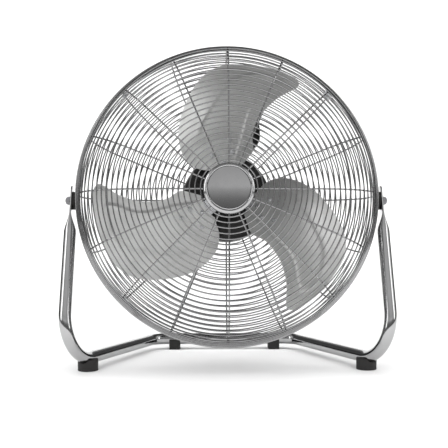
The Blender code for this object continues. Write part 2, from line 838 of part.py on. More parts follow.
def motor(materials, fan, rotor):
    front, rear = MOTOR
    wall = MOTOR_WALL
    seat = BEARING_RADIUS + GAP
    outer = MOTOR_RADIUS
    front_bell = [
        (seat, front),
        (0.020, front),
        (0.048, front + 0.003),
        (outer - 0.006, front + 0.008),
        (outer, front + 0.015),
        (outer, MOTOR_JOIN),
        (outer - wall, MOTOR_JOIN),
        (outer - wall, front + 0.0160),
        (outer - 0.008, front + 0.0105),
        (0.048, front + 0.0056),
        (0.018, front + 0.0030),
        (0.0175, front + 0.0075),
        (seat, front + 0.0075),
    ]
    finish(revolved(front_bell, 32), "motor_front_bell", materials["black"], fan)
    rear_bell = [
        (seat, rear),
        (outer - 0.006, rear),
        (outer, rear - 0.006),
        (outer, MOTOR_JOIN + GAP),
        (outer - wall, MOTOR_JOIN + GAP),
        (outer - wall, rear - 0.0068),
        (outer - 0.0074, rear - wall),
        (0.0175, rear - wall),
        (0.0175, rear - 0.0085),
        (seat, rear - 0.0085),
    ]
    rear_part = finish(revolved(rear_bell, 32), "motor_rear_bell", materials["black"], fan)
    inner, reach, low, high = STATOR
    finish(ring(inner, reach, low, high, 32), "motor_stator", materials["core"], fan)
    radius, low, high = ROTOR_CORE
    finish(
        ring(SHAFT_RADIUS + GAP, radius, low, high, 24), "motor_rotor", materials["steel"], rotor
    )
    finish(cylinder(SHAFT_RADIUS, *SHAFT, 16), "fan_shaft", materials["steel"], rotor)
    for name, low in (("front", front + 0.0005), ("rear", rear - 0.0075)):
        finish(
            ring(SHAFT_RADIUS + GAP, BEARING_RADIUS, low, low + 0.0065, 16),
            f"bearing_{name}",
            materials["steel"],
            fan,
        )
    plate = finish(
        cylinder(PLATE_RADIUS, *PLATE, 36), "motor_mount_plate", materials["black"], fan
    )
    drill = bmesh.new()
    for quarter in range(4):
        angle = math.radians(MOTOR_SCREW_ANGLE + 90.0 * quarter)
        spot = (MOTOR_SCREW_CIRCLE * math.cos(angle), 0.0, MOTOR_SCREW_CIRCLE * math.sin(angle))
        bmesh.ops.create_cone(
            drill,
            cap_ends=True,
            segments=12,
            radius1=0.0024,
            radius2=0.0024,
            depth=0.030,
            matrix=Matrix.Translation(Vector(spot) + Vector((0.0, rear + 0.003, 0.0)))
            @ Matrix.Rotation(math.pi / 2.0, 4, "X"),
        )
        screw = [(0.0, rear - 0.0050), (0.0020, rear - 0.0050), (0.0020, PLATE[1] + GAP)]
        screw += [(0.0046, PLATE[1] + GAP), (0.0040, PLATE[1] + 0.0033), (0.0, PLATE[1] + 0.0036)]
        finish(
            revolved(screw, 10), f"motor_screw_{quarter + 1}", materials["steel"], fan, location=spot
        )
    cutter = finish(drill, "motor_screw_drills", None, fan, helper=True)
    boolean(plate, cutter)
    boolean(rear_part, cutter)


# ---------------------------------------------------------------- control box


def tray(outline, low, high, wall):
    """An open tray: its floor is at y = low and it opens towards +Y."""
    inner = inset_outline(outline, wall)
    bm = bmesh.new()
    loops = []
    for points, y in ((outline, low), (outline, high), (inner, high), (inner, low + wall)):
        loops.append([bm.verts.new((x, y, z)) for x, z in points])
    count = len(outline)
    for near, far in zip(loops, loops[1:]):
        for index in range(count):
            nxt = (index + 1) % count
            bm.faces.new((near[index], near[nxt], far[nxt], far[index]))
    bm.faces.new(loops[0])
    bm.faces.new(loops[-1])
    return bm


def control_box(materials, fan):
    low, high = BOX
    tub = finish(tray(BOX_OUTLINE, low, high, BOX_WALL), "control_box", materials["black"], fan)
    cover_low = high + GAP
    cover_high = cover_low + COVER_THICKNESS
    cover = finish(
        prism(BOX_OUTLINE, cover_low, cover_high), "control_box_cover", materials["black"], fan
    )
    switch = (SWITCH[0], 0.0, SWITCH[1])
    hole = finish(
        cylinder(0.0048, cover_low - 0.01, cover_high + 0.01, 16),
        "cover_switch_hole",
        None,
        fan,
        location=switch,
        helper=True,
    )
    boolean(cover, hole)
    body_top = high - 0.0004
    body = [(0.0, body_top - 0.018), (0.0150, body_top - 0.018), (0.0150, body_top)]
    body += [(0.0034, body_top), (0.0034, body_top - 0.006), (0.0, body_top - 0.006)]
    finish(revolved(body, 16), "rotary_switch", materials["plastic"], fan, location=switch)
    dial = empty("speed_dial_axis", switch, parent=fan)
    spindle_top = cover_high + 0.0110
    finish(
        cylinder(0.0030, body_top - 0.0057, spindle_top, 12), "switch_spindle", materials["steel"], dial
    )
    knob_low = cover_high + 0.0005
    knob_high = knob_low + 0.0150
    knob = [
        (0.0, spindle_top + GAP),
        (0.0033, spindle_top + GAP),
        (0.0033, knob_low),
        (0.0170, knob_low),
        (0.0170, knob_low + 0.0020),
        (0.0145, knob_low + 0.0035),
        (0.0135, knob_high - 0.0010),
        (0.0125, knob_high),
        (0.0, knob_high),
    ]
    dial_knob = finish(revolved(knob, 20), "speed_knob", materials["plastic"], dial)
    ridge = finish(
        box((0.0044, 0.0050, 0.0290), (0.0, knob_high + 0.0015, 0.0), 0.0008),
        "speed_knob_ridge",
        None,
        dial,
        helper=True,
    )
    boolean(dial_knob, ridge, "UNION")
    finish(
        box((0.0360, 0.0200, 0.0140), (0.0, low + BOX_WALL + 0.0105, 0.1030), 0.0015),
        "run_capacitor",
        materials["capacitor"],
        fan,
    )
    clamp = finish(
        box((0.0800, 0.0020, 0.0120), (0.0, 0.0460, 0.1170), 0.0004),
        "box_clamp_plate",
        materials["steel"],
        fan,
    )
    drills = bmesh.new()
    for name, side in (("left", -1.0), ("right", 1.0)):
        spot = Vector((side * 0.032, 0.0, 0.1170))
        bmesh.ops.create_cone(
            drills,
            cap_ends=True,
            segments=12,
            radius1=0.0023,
            radius2=0.0023,
            depth=0.026,
            matrix=Matrix.Translation(spot + Vector((0.0, 0.050, 0.0)))
            @ Matrix.Rotation(math.pi / 2.0, 4, "X"),
        )
        screw = [(0.0, 0.0414), (0.0040, 0.0418), (0.0044, 0.0447), (0.0018, 0.0447)]
        screw += [(0.0018, 0.0620), (0.0, 0.0620)]
        finish(revolved(screw, 10), f"box_screw_{name}", materials["steel"], fan, location=spot)
    cutter = finish(drills, "box_screw_drills", None, fan, helper=True)
    boolean(clamp, cutter)
    boolean(tub, cutter)
    bottom = BOX_OUTLINE[0][1]
    spot = (GLAND_X, (low + high) / 2.0, bottom)
    gland_hole = finish(
        cylinder(0.0053, -0.006, 0.010, 14),
        "gland_hole",
        None,
        fan,
        location=spot,
        rotation=(math.pi / 2.0, 0.0, 0.0),
        helper=True,
    )
    boolean(tub, gland_hole)
    gland = [
        (0.0032, -0.0080),
        (0.0062, -0.0080),
        (0.0078, -0.0030),
        (0.0078, -GAP),
        (0.0049, -GAP),
        (0.0049, 0.0060),
        (0.0032, 0.0060),
    ]
    finish(
        revolved(gland, 14),
        "cord_gland",
        materials["rubber"],
        fan,
        location=spot,
        rotation=(math.pi / 2.0, 0.0, 0.0),
    )


def main():
    clear_scene()
    materials = make_materials()
    head = empty("tilt_axis", PIVOT, (-REST_TILT, 0.0, 0.0))
    fan = empty("fan_axis", (0.0, 0.0, AXIS_RISE), parent=head)
    rotor = empty("rotor_axis", (0.0, 0.0, 0.0), parent=fan)
    stand_tube(materials["chrome"])
    front_feet(materials)
    rear_feet(materials)
    tilt_clamps(materials, head)
    cage(materials, fan)
    centre_cap(materials, fan)
    blades(materials, rotor)
    motor(materials, fan, rotor)
    control_box(materials, fan)
    bpy.context.view_layer.update()


main()
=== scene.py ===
import math

import bmesh
import bpy
from mathutils import Matrix, Vector


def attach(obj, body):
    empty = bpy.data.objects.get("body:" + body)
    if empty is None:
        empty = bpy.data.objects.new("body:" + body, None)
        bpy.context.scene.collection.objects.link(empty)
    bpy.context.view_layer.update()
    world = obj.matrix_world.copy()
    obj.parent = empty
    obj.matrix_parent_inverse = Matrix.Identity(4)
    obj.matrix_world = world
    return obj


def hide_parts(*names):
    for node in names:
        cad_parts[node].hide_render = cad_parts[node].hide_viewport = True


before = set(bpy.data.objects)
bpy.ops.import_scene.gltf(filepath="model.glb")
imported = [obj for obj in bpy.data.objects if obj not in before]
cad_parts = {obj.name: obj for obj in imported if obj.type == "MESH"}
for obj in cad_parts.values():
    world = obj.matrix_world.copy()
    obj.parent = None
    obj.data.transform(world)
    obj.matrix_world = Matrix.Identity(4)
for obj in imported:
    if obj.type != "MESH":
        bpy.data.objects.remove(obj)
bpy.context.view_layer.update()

# Chrome floor fan. The fan's own frame has Y pointing back along its axis; everything is metres.
TILT = math.radians(7.0)
PIVOT = Vector((0.0, -0.029525, 0.292))
FAN = Matrix.Translation((0.0, -0.028794, 0.297955)) @ Matrix.Rotation(-TILT, 4, "X")
HEAD = Matrix.Translation(PIVOT) @ Matrix.Rotation(-TILT, 4, "X")
WORLD = Matrix.Identity(4)
TAU = math.tau


# ---- materials


class Nodes:
    """A short way to wire a Principled material."""

    def __init__(self, name, colour, roughness, metallic=0.0, **sockets):
        self.material = bpy.data.materials.new(name)
        self.material.use_nodes = True
        self.tree = self.material.node_tree
        self.shader = self.tree.nodes["Principled BSDF"]
        self.set(self.shader, "Base Color", (*colour, 1.0))
        self.set(self.shader, "Roughness", roughness)
        self.set(self.shader, "Metallic", metallic)
        for socket, value in sockets.items():
            self.set(self.shader, socket.replace("_", " "), value)
        self.coordinates = self.tree.nodes.new("ShaderNodeTexCoord").outputs["Object"]

    def set(self, node, socket, value):
        if isinstance(value, bpy.types.NodeSocket):
            self.tree.links.new(value, node.inputs[socket])
        else:
            node.inputs[socket].default_value = value

    def node(self, kind, output=0, settings=(), **sockets):
        node = self.tree.nodes.new("ShaderNode" + kind)
        for key, value in dict(settings).items():
            setattr(node, key, value)
        for socket, value in sockets.items():
            self.set(node, socket.replace("_", " "), value)
        return node.outputs[output]

    def stretched(self, scale):
        return self.node("Mapping", Vector=self.coordinates, Scale=scale)

    def noise(self, scale, detail=3.0, roughness=0.55, vector=None):
        return self.node(
            "TexNoise",
            Vector=vector or self.coordinates,
            Scale=scale,
            Detail=detail,
            Roughness=roughness,
        )

    def between(self, value, low=0.0, high=1.0, start=0.35, end=0.65):
        return self.node(
            "MapRange", Value=value, From_Min=start, From_Max=end, To_Min=low, To_Max=high
        )

    def mixed(self, factor, first, second):
        mix = self.tree.nodes.new("ShaderNodeMix")
        mix.data_type = "RGBA"
        self.set(mix, 0, factor)
        mix.inputs[6].default_value = (*first, 1.0)
        mix.inputs[7].default_value = (*second, 1.0)
        return mix.outputs[2]

    def colour(self, factor, first, second):
        self.set(self.shader, "Base Color", self.mixed(factor, first, second))

    def bump(self, height, strength, distance):
        bumped = self.node("Bump", Height=height, Strength=strength, Distance=distance)
        self.set(self.shader, "Normal", bumped)

    def rough(self, value):
        self.set(self.shader, "Roughness", value)


def chrome(name="chrome_plate", colour=(0.47, 0.47, 0.474), low=0.04, high=0.10):
    made = Nodes(name, colour, low, 1.0)
    cloud = made.noise(28.0, 4.0)
    made.rough(made.between(cloud, low, high))
    made.colour(made.between(cloud), colour, tuple(part * 0.93 for part in colour))
    made.bump(made.noise(900.0, 2.0), 0.03, 0.0004)
    return made.material


def satin_aluminium():
    made = Nodes("satin_aluminium_skin", (0.66, 0.66, 0.665), 0.34, 1.0)
    grain = made.noise(60.0, 5.0, 0.6, made.stretched((14.0, 1.0, 1.0)))
    cloud = made.noise(9.0, 3.0)
    made.colour(made.between(cloud), (0.57, 0.57, 0.565), (0.50, 0.50, 0.495))
    made.rough(made.between(grain, 0.33, 0.45))
    made.bump(grain, 0.10, 0.0003)
    return made.material


def steel(name, colour, low, high):
    made = Nodes(name, colour, low, 1.0)
    grain = made.noise(220.0, 4.0)
    made.rough(made.between(grain, low, high))
    made.colour(made.between(made.noise(35.0)), colour, tuple(part * 0.82 for part in colour))
    made.bump(grain, 0.08, 0.0002)
    return made.material


def laminations():
    made = Nodes("lamination_stack", (0.20, 0.20, 0.22), 0.5, 1.0)
    wave = made.node(
        "TexWave",
        output=1,
        settings={"bands_direction": "Y"},
        Vector=made.coordinates,
        Scale=320.0,
        Distortion=0.0,
    )
    made.colour(wave, (0.10, 0.10, 0.11), (0.30, 0.30, 0.32))
    made.rough(made.between(made.noise(120.0), 0.38, 0.60))
    made.bump(wave, 0.5, 0.0003)
    return made.material


def black_paint():
    made = Nodes("gloss_black_paint", (0.006, 0.006, 0.006), 0.34, Specular_IOR_Level=0.3)
    peel = made.noise(420.0, 2.0, 0.5)
    made.rough(made.between(made.noise(40.0, 4.0), 0.24, 0.38))
    made.colour(made.between(made.noise(14.0)), (0.004, 0.004, 0.004), (0.009, 0.009, 0.009))
    made.bump(peel, 0.12, 0.0004)
    return made.material


def rubber():
    made = Nodes("moulded_rubber", (0.022, 0.021, 0.021), 0.72)
    grain = made.noise(1100.0, 3.0)
    cloud = made.noise(45.0, 4.0)
    made.colour(made.between(cloud), (0.009, 0.0085, 0.0085), (0.020, 0.019, 0.0185))
    made.rough(made.between(cloud, 0.58, 0.82))
    made.bump(grain, 0.35, 0.0003)
    return made.material


def plastic(name, colour, low, high):
    made = Nodes(name, colour, low)
    cells = made.node("TexVoronoi", Vector=made.coordinates, Scale=1500.0)
    cloud = made.noise(60.0, 4.0)
    made.colour(made.between(cloud), colour, tuple(part * 0.75 for part in colour))
    made.rough(made.between(cloud, low, high))
    made.bump(cells, 0.18, 0.0002)
    return made.material


CHROME = chrome()
WIRE = chrome("chrome_wire", (0.33, 0.33, 0.333), 0.10, 0.18)
HOOP_METAL = chrome("plated_hoop_band", (0.38, 0.38, 0.383), 0.16, 0.26)
ALUMINIUM = satin_aluminium()
STEEL = steel("zinc_steel", (0.56, 0.565, 0.58), 0.24, 0.38)
CORE = laminations()
BLACK = black_paint()
RUBBER = rubber()
PLASTIC = plastic("black_moulding", (0.020, 0.020, 0.021), 0.36, 0.52)
GREY = plastic("grey_moulding", (0.20, 0.20, 0.21), 0.28, 0.42)
CASE = plastic("capacitor_moulding", (0.035, 0.035, 0.042), 0.40, 0.58)
FINISH = {
    "chrome": CHROME,
    "wire": WIRE,
    "plated_hoop": HOOP_METAL,
    "satin_aluminium": ALUMINIUM,
    "bright_steel": STEEL,
    "core_laminations": CORE,
    "black_paint": BLACK,
    "black_rubber": RUBBER,
    "black_plastic": PLASTIC,
    "grey_knob": GREY,
    "capacitor_case": CASE,
}


# ---- mesh helpers


def about_axis(point, angle):
    """A 2-D (radius, y) point turned round the fan axis."""
    return Vector((point[0] * math.cos(angle), point[1], point[0] * math.sin(angle)))


class Shape:
    """Points and faces gathered before they become one mesh."""

    def __init__(self):
        self.points = []
        self.faces = []

    def grid(self, rows, close_rows=False, close_columns=False):
        """Quads over equal rows of points."""
        start = len(self.points)
        width = len(rows[0])
        for row in rows:
            self.points.extend(row)
        count = len(rows)
        for row in range(count if close_rows else count - 1):
            for column in range(width if close_columns else width - 1):
                near, far = start + row * width, start + (row + 1) % count * width
                nxt = (column + 1) % width
                self.faces.append((near + column, near + nxt, far + nxt, far + column))
        return start

    def cap(self, indices):
        self.faces.append(tuple(indices))

    def revolve(self, profile, segments=64, place=None, warp=None):
        """Spins a (radius, y) profile about Y, closed at the axis where it touches it."""
        on_axis = profile[0][0] == 0.0
        body = [point for point in profile if point[0] > 0.0]
        rows = []
        for spot in body:
            row = []
            for step in range(segments):
                angle = TAU * step / segments
                radius, y = warp(*spot, angle) if warp else spot
                row.append(about_axis((radius, y), angle))
            rows.append(row)
        start = self.grid(rows, close_rows=not on_axis, close_columns=True)
        if on_axis:
            for row, y in ((0, profile[0][1]), (len(rows) - 1, profile[-1][1])):
                self.points.append(Vector((0.0, y, 0.0)))
                middle = len(self.points) - 1
                for step in range(segments):
                    first = start + row * segments + step
                    second = start + row * segments + (step + 1) % segments
                    self.faces.append((first, second, middle))
        if place is not None:
            for index in range(start, len(self.points)):
                self.points[index] = place @ self.points[index]
        return self

    def sheet(self, front, back):
        """Two skins of points joined round their border."""
        first, second = self.grid(front), self.grid(back)
        rows, columns = len(front) - 1, len(front[0]) - 1
        border = [(0, column) for column in range(columns)]
        border += [(row, columns) for row in range(rows)]
        border += [(rows, column) for column in range(columns, 0, -1)]
        border += [(row, 0) for row in range(rows, 0, -1)]
        for index, (row, column) in enumerate(border):
            next_row, next_column = border[(index + 1) % len(border)]
            here = row * (columns + 1) + column
            there = next_row * (columns + 1) + next_column
            self.faces.append((first + here, first + there, second + there, second + here))
        return self

    def loops(self, rows, place=None):
        """Closed loops of points, with a face over the first and over the last."""
        if place is not None:
            rows = [[place @ point for point in row] for row in rows]
        start = self.grid(rows, close_columns=True)
        width = len(rows[0])
        self.cap(range(start, start + width))
        end = start + (len(rows) - 1) * width
        self.cap(range(end, end + width))
        return self

    def slab(self, outline, low, high, bevel, place=None):
        """A plate with this (x, z) outline and rounded edges, between two heights on Y."""
        rows = []
        for y, way in ((low, 1.0), (high, -1.0)):
            edge = []
            for step in range(4):
                angle = math.pi / 2.0 * step / 3.0
                inner = inset(outline, bevel * (1.0 - math.sin(angle)))
                height = y + way * bevel * (1.0 - math.cos(angle))
                edge.append([Vector((x, height, z)) for x, z in inner])
            rows += edge if way > 0.0 else edge[::-1]
        return self.loops(rows, place)

    def torus(self, radius, y, wire, segments=160, sides=8, flat=1.0):
        rows = []
        for step in range(segments):
            angle = TAU * step / segments
            across = Vector((math.cos(angle), 0.0, math.sin(angle)))
            middle = across * radius + Vector((0.0, y, 0.0))
            rows.append(
                [
                    middle
                    + across * (wire * math.cos(TAU * side / sides))
                    + Vector((0.0, wire * flat * math.sin(TAU * side / sides), 0.0))
                    for side in range(sides)
                ]
            )
        self.grid(rows, close_rows=True, close_columns=True)
        return self

    def tube(self, path, radius, sides=10, hint=Vector((1.0, 0.0, 0.0))):
        """A round wire along a path, with domed ends."""
        rows = []
        across = hint
        last = len(path) - 1
        for index, point in enumerate(path):
            along = (path[min(index + 1, last)] - path[max(index - 1, 0)]).normalized()
            across = (across - along * across.dot(along)).normalized()
            other = along.cross(across)
            spots = [TAU * side / sides for side in range(sides)]
            ring = [(across * math.cos(a) + other * math.sin(a)) * radius for a in spots]
            if index == 0:
                rows.append([point - along * radius * 0.45 + spot * 0.55 for spot in ring])
            rows.append([point + spot for spot in ring])
            if index == last:
                rows.append([point + along * radius * 0.45 + spot * 0.55 for spot in ring])
        start = self.grid(rows, close_columns=True)
        self.cap(range(start, start + sides))
        end = start + (len(rows) - 1) * sides
        self.cap(range(end, end + sides))
        return self


def piece(name, shape, slot, body, *cad, place=FAN, crease=38.0, material=None):
    """A finished object in world coordinates that rides on a body and stands for CAD nodes."""
    mesh = bpy.data.meshes.new(name)
    mesh.from_pydata([place @ point for point in shape.points], [], shape.faces)
    bm = bmesh.new()
    bm.from_mesh(mesh)
    bmesh.ops.recalc_face_normals(bm, faces=bm.faces)
    bm.to_mesh(mesh)
    bm.free()
    mesh.shade_smooth()
    mesh.set_sharp_from_angle(angle=math.radians(crease))
    mesh.materials.append(material or FINISH[slot])
    item = bpy.data.objects.new(name, mesh)
    bpy.context.scene.collection.objects.link(item)
    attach(item, body)
    if cad:
        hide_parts(*cad)
    return item


def rounded(profile, radius, steps=3, closed=False):
    """Rounds the corners of a (radius, y) outline, except at its ends on the axis."""
    points = [Vector(point) for point in profile]
    count = len(points)
    out = []
    for index, corner in enumerate(points):
        if not closed and index in (0, count - 1):
            out.append(tuple(corner))
            continue
        before = points[index - 1] - corner
        after = points[(index + 1) % count] - corner
        reach = min(radius, before.length * 0.45, after.length * 0.45)
        start = corner + before.normalized() * reach
        end = corner + after.normalized() * reach
        for step in range(steps + 1):
            part = step / steps
            out.append(
                tuple(start * (1 - part) ** 2 + corner * 2 * part * (1 - part) + end * part**2)
            )
    return out


def curve(points, step):
    """Equally spaced points on a smooth line through 2-D points."""
    fine = []
    last = len(points) - 1
    for index in range(last):
        near = [Vector(points[min(max(index + shift, 0), last)]) for shift in (-1, 0, 1, 2)]
        for part in range(40):
            t = part / 40.0
            before, start, end, after = near
            fine.append(
                0.5
                * (
                    2.0 * start
                    + (end - before) * t
                    + (2.0 * before - 5.0 * start + 4.0 * end - after) * t**2
                    + (3.0 * start - before - 3.0 * end + after) * t**3
                )
            )
    fine.append(Vector(points[-1]))
    lengths = [0.0]
    for near, far in zip(fine, fine[1:]):
        lengths.append(lengths[-1] + (far - near).length)
    count = max(1, round(lengths[-1] / step))
    out = []
    cursor = 0
    for index in range(count + 1):
        wanted = lengths[-1] * index / count
        while cursor < len(fine) - 2 and lengths[cursor + 1] < wanted:
            cursor += 1
        span = lengths[cursor + 1] - lengths[cursor]
        part = (wanted - lengths[cursor]) / span
        out.append(fine[cursor].lerp(fine[cursor + 1], part))
    return out


def inset(outline, distance):
    """A closed outline moved inwards."""
    count = len(outline)
    pairs = [(outline[i - 1], outline[i]) for i in range(count)]
    area = sum(a[0] * b[1] - b[0] * a[1] for a, b in pairs)
    way = 1.0 if area > 0.0 else -1.0
    out = []
    for index, (x, z) in enumerate(outline):
        before, after = Vector(outline[index - 1]), Vector(outline[(index + 1) % count])
        along = (after - before).normalized()
        out.append((x - along.y * way * distance, z + along.x * way * distance))
    return out


def oblong(width, height, radius, x=0.0, z=0.0):
    """A rectangle's outline with round corners."""
    corners = [(-width / 2, -height / 2), (width / 2, -height / 2)]
    corners += [(width / 2, height / 2), (-width / 2, height / 2)]
    return [(x + u, z + v) for u, v in rounded(corners, radius, 6, True)]


def aimed(spot, way):
    """Puts the Y axis of a shape along this way, at this spot."""
    turn = Vector((0.0, 1.0, 0.0)).rotation_difference(Vector(way))
    return Matrix.Translation(Vector(spot)) @ turn.to_matrix().to_4x4()


def thread(radius, low, high, pitch=0.0007):
    """The profile of a screw thread, as close rings."""
    count = max(1, int(abs(high - low) / pitch))
    out = []
    for index in range(count):
        y = low + (high - low) * index / count
        out += [(radius, y), (radius * 0.86, y + (high - low) / count * 0.5)]
    return out


def screw(shape, place, head, height, shank, length):
    """A pan-head screw with a cross recess: its head is at y < 0."""
    parts = (0.07, 0.14, 0.21, 0.30, 0.40, 0.50, 0.57, 0.63, 0.75, 0.87, 0.95, 1.0)
    profile = [(0.0, -height)]
    profile += [(head * part, -height * (1.0 - 0.45 * part**3)) for part in parts]
    profile += [(head, -height * 0.2), (head * 0.97, 0.0), (shank, 0.0)]
    profile += thread(shank, 0.0002, length - 0.0008) + [(shank * 0.6, length), (0.0, length)]

    def recess(radius, y, angle):
        x, z = abs(radius * math.cos(angle)), abs(radius * math.sin(angle))
        inside = y < -height * 0.5 and radius < head * 0.6 and min(x, z) < head * 0.13
        return radius, y + (height * 0.45 if inside else 0.0)

    return shape.revolve(profile, 48, place, recess)


# ---- cage

FRONT_MERIDIAN = (
    (0.0380, -0.1250), (0.0930, -0.1243), (0.1480, -0.1217), (0.2000, -0.1140),
    (0.2308, -0.0974), (0.2500, -0.0760), (0.2605, -0.0385),
)
REAR_MERIDIAN = (
    (0.0520, 0.0510), (0.1000, 0.0505), (0.1560, 0.0480), (0.2080, 0.0415), (0.2400, 0.0260),
    (0.2545, 0.0060), (0.2600, -0.0170),
)
RING_PITCH = 0.0091
RING_WIRE = 0.00112
SPOKE_WIRE = 0.00135
STOUT_WIRE = 0.0017
SPOKES = 16
SPINE_STEP = 0.006
HALF_WIRE_BAND = 0.0014
WELD = 0.0002


def with_normals(line, outward):
    """Each point of a 2-D line, with the way that faces out of the cage there."""
    out = []
    for index, point in enumerate(line):
        along = (line[min(index + 1, len(line) - 1)] - line[max(index - 1, 0)]).normalized()
        out.append((point, Vector((along.y, -along.x)) * outward))
    return out


def guard(name, meridian, outward, cad, stout):
    """Welded wire guard: fine rings outside the spokes, with a stouter ring where it turns."""
    rings = Shape()
    line = curve(meridian, RING_PITCH)
    stouts = [min(line, key=lambda point: abs(point.x - radius)) for radius in stout]
    for point, across in with_normals(line, outward):
        wire = STOUT_WIRE if any(point is other for other in stouts) else RING_WIRE
        spot = point + across * (HALF_WIRE_BAND - wire)
        rings.torus(spot.x, spot.y, wire, 200, 8)
    depth = SPOKE_WIRE + RING_WIRE * 2.0 - HALF_WIRE_BAND - WELD
    path = with_normals(curve(meridian, SPINE_STEP), outward)
    spine = [point - across * depth for point, across in path]
    for spoke in range(SPOKES):
        angle = TAU * spoke / SPOKES
        turned = [about_axis(point, angle) for point in spine]
        hint = Vector((-math.sin(angle), 0.0, math.cos(angle)))
        rings.tube(turned, SPOKE_WIRE, 8, hint)
    return piece(name, rings, "chrome", "head", cad, material=WIRE)


guard("front_guard_wires", FRONT_MERIDIAN, 1.0, "front_guard", (0.038, 0.2035))
guard("rear_guard_wires", REAR_MERIDIAN, -1.0, "rear_guard", (0.052,))

HOOP = [
    (0.2582, -0.0353), (0.2628, -0.0353), (0.2639, -0.0342), (0.2639, -0.0213),
    (0.2628, -0.0202), (0.2582, -0.0202), (0.2582, -0.0214), (0.2618, -0.0214),
    (0.2626, -0.0222), (0.2626, -0.0333), (0.2618, -0.0341), (0.2582, -0.0341),
]
piece(
    "rim_hoop_band",
    Shape().revolve(rounded(HOOP, 0.0006, 3, True), 240),
    "plated_hoop",
    "head",
    "rim_hoop",
)


# ---- centre cap

CAP_FRONT = -0.1345
CAP = [(0.0, CAP_FRONT + 0.0010)]
for part in range(1, 9):
    share = part / 8.0
    CAP.append((0.034 * part / 8.0, CAP_FRONT + 0.0010 + 0.0011 * share**2))
CAP += [
    (0.0354, CAP_FRONT + 0.0022),
    (0.0360, CAP_FRONT + 0.0026),
    (0.0364, CAP_FRONT + 0.0020),
    (0.0370, CAP_FRONT + 0.0007),
    (0.0380, CAP_FRONT + 0.0001),
    (0.0391, CAP_FRONT + 0.0006),
    (0.0398, CAP_FRONT + 0.0018),
    (0.0405, CAP_FRONT + 0.0022),
    (0.0419, CAP_FRONT + 0.0032),
    (0.0426, CAP_FRONT + 0.0046),
    (0.0426, -0.1268),
    (0.0030, -0.1268),
    (0.0030, -0.1308),
    (0.0, -0.1308),
]
piece("centre_cap_disc", Shape().revolve(CAP, 128), "chrome", "head", "centre_cap", crease=60.0)


# ---- blades

BLADE_OUTLINE = (
    (0.046, -54.0, 1.0), (0.0625, -59.0, 15.0), (0.081, -61.0, 19.5), (0.104, -53.5, 17.5),
    (0.139, -53.0, 8.0), (0.179, -57.5, -6.0), (0.216, -63.5, -18.8), (0.229, -60.5, -28.0),
)
BEAD = (
    (0.118, -4.0), (0.128, -8.6), (0.157, -20.0), (0.190, -30.0), (0.2075, -39.6),
    (0.2120, -47.0), (0.2070, -53.0), (0.190, -52.5), (0.163, -47.5), (0.137, -45.0),
    (0.093, -44.5), (0.053, -42.5),
)
BEAD_HEIGHT = 0.0018
BEAD_WIDTH = 0.0025
BEAD_STEPS = 240
BEAD_FADE = 14.0
CAMBER = 0.13
BLADE_Y = -0.058
ROOT_PITCH = math.radians(28.0)
TIP_PITCH = math.radians(16.0)
BLADE_THICKNESS = 0.0016
BLADES = 3


def catmull(points, position):
    """A point on a smooth line through these points, by its place in the list."""
    last = len(points) - 1
    index = min(int(position), last - 1)
    part = position - index
    near = [points[min(max(index + step, 0), last)] for step in (-1, 0, 1, 2)]
    return [
        0.5
        * (
            2.0 * start
            + (end - before) * part
            + (2.0 * before - 5.0 * start + 4.0 * end - after) * part**2
            + (3.0 * start - before - 3.0 * end + after) * part**3
        )
        for before, start, end, after in zip(*near)
    ]


def at_radius(radius):
    """The place in the blade outline that has this radius."""
    low, high = 0.0, len(BLADE_OUTLINE) - 1.0
    for _ in range(24):
        trial = (low + high) / 2.0
        if catmull(BLADE_OUTLINE, trial)[0] < radius:
            low = trial
        else:
            high = trial
    return low


MIDDLES = {}


def middle_at(radius):
    """The angle halfway between the blade's two edges."""
    key = round(radius, 5)
    if key not in MIDDLES:
        _, trailing, leading = catmull(BLADE_OUTLINE, at_radius(radius))
        MIDDLES[key] = math.radians((trailing + leading) / 2.0)
    return MIDDLES[key]


def pitch_at(radius):
    first, last = BLADE_OUTLINE[0][0], BLADE_OUTLINE[-1][0]
    part = min(max((radius - first) / (last - first), 0.0), 1.0)
    return ROOT_PITCH + (TIP_PITCH - ROOT_PITCH) * part


def blade_y(radius, angle):
    """How far back the middle of the sheet lies, with its pitch and camber."""
    across = (angle - middle_at(radius)) * radius
    camber = CAMBER * across * across / max(radius, 0.06)
    return BLADE_Y + across * math.tan(pitch_at(radius)) + camber


def bead_line():
    line = []
    for step in range(BEAD_STEPS + 1):
        radius, degrees = catmull(BEAD, step * (len(BEAD) - 1) / BEAD_STEPS)
        angle = math.radians(degrees)
        line.append(Vector((radius * math.cos(angle), radius * math.sin(angle))))
    return line


BEAD_LINE = bead_line()


def emboss(radius, angle):
    """How far the pressed bead stands forward at this spot."""
    spot = Vector((radius * math.cos(angle), radius * math.sin(angle)))
    coarse = range(0, BEAD_STEPS + 1, 4)
    index = min(coarse, key=lambda i: (BEAD_LINE[i] - spot).length_squared)
    near = range(max(index - 4, 0), min(index + 5, BEAD_STEPS + 1))
    distance = min((BEAD_LINE[i] - spot).length for i in near)
    fade = min(index, BEAD_STEPS - index) / BEAD_FADE
    return BEAD_HEIGHT * math.exp(-((distance / BEAD_WIDTH) ** 2)) * min(fade, 1.0)


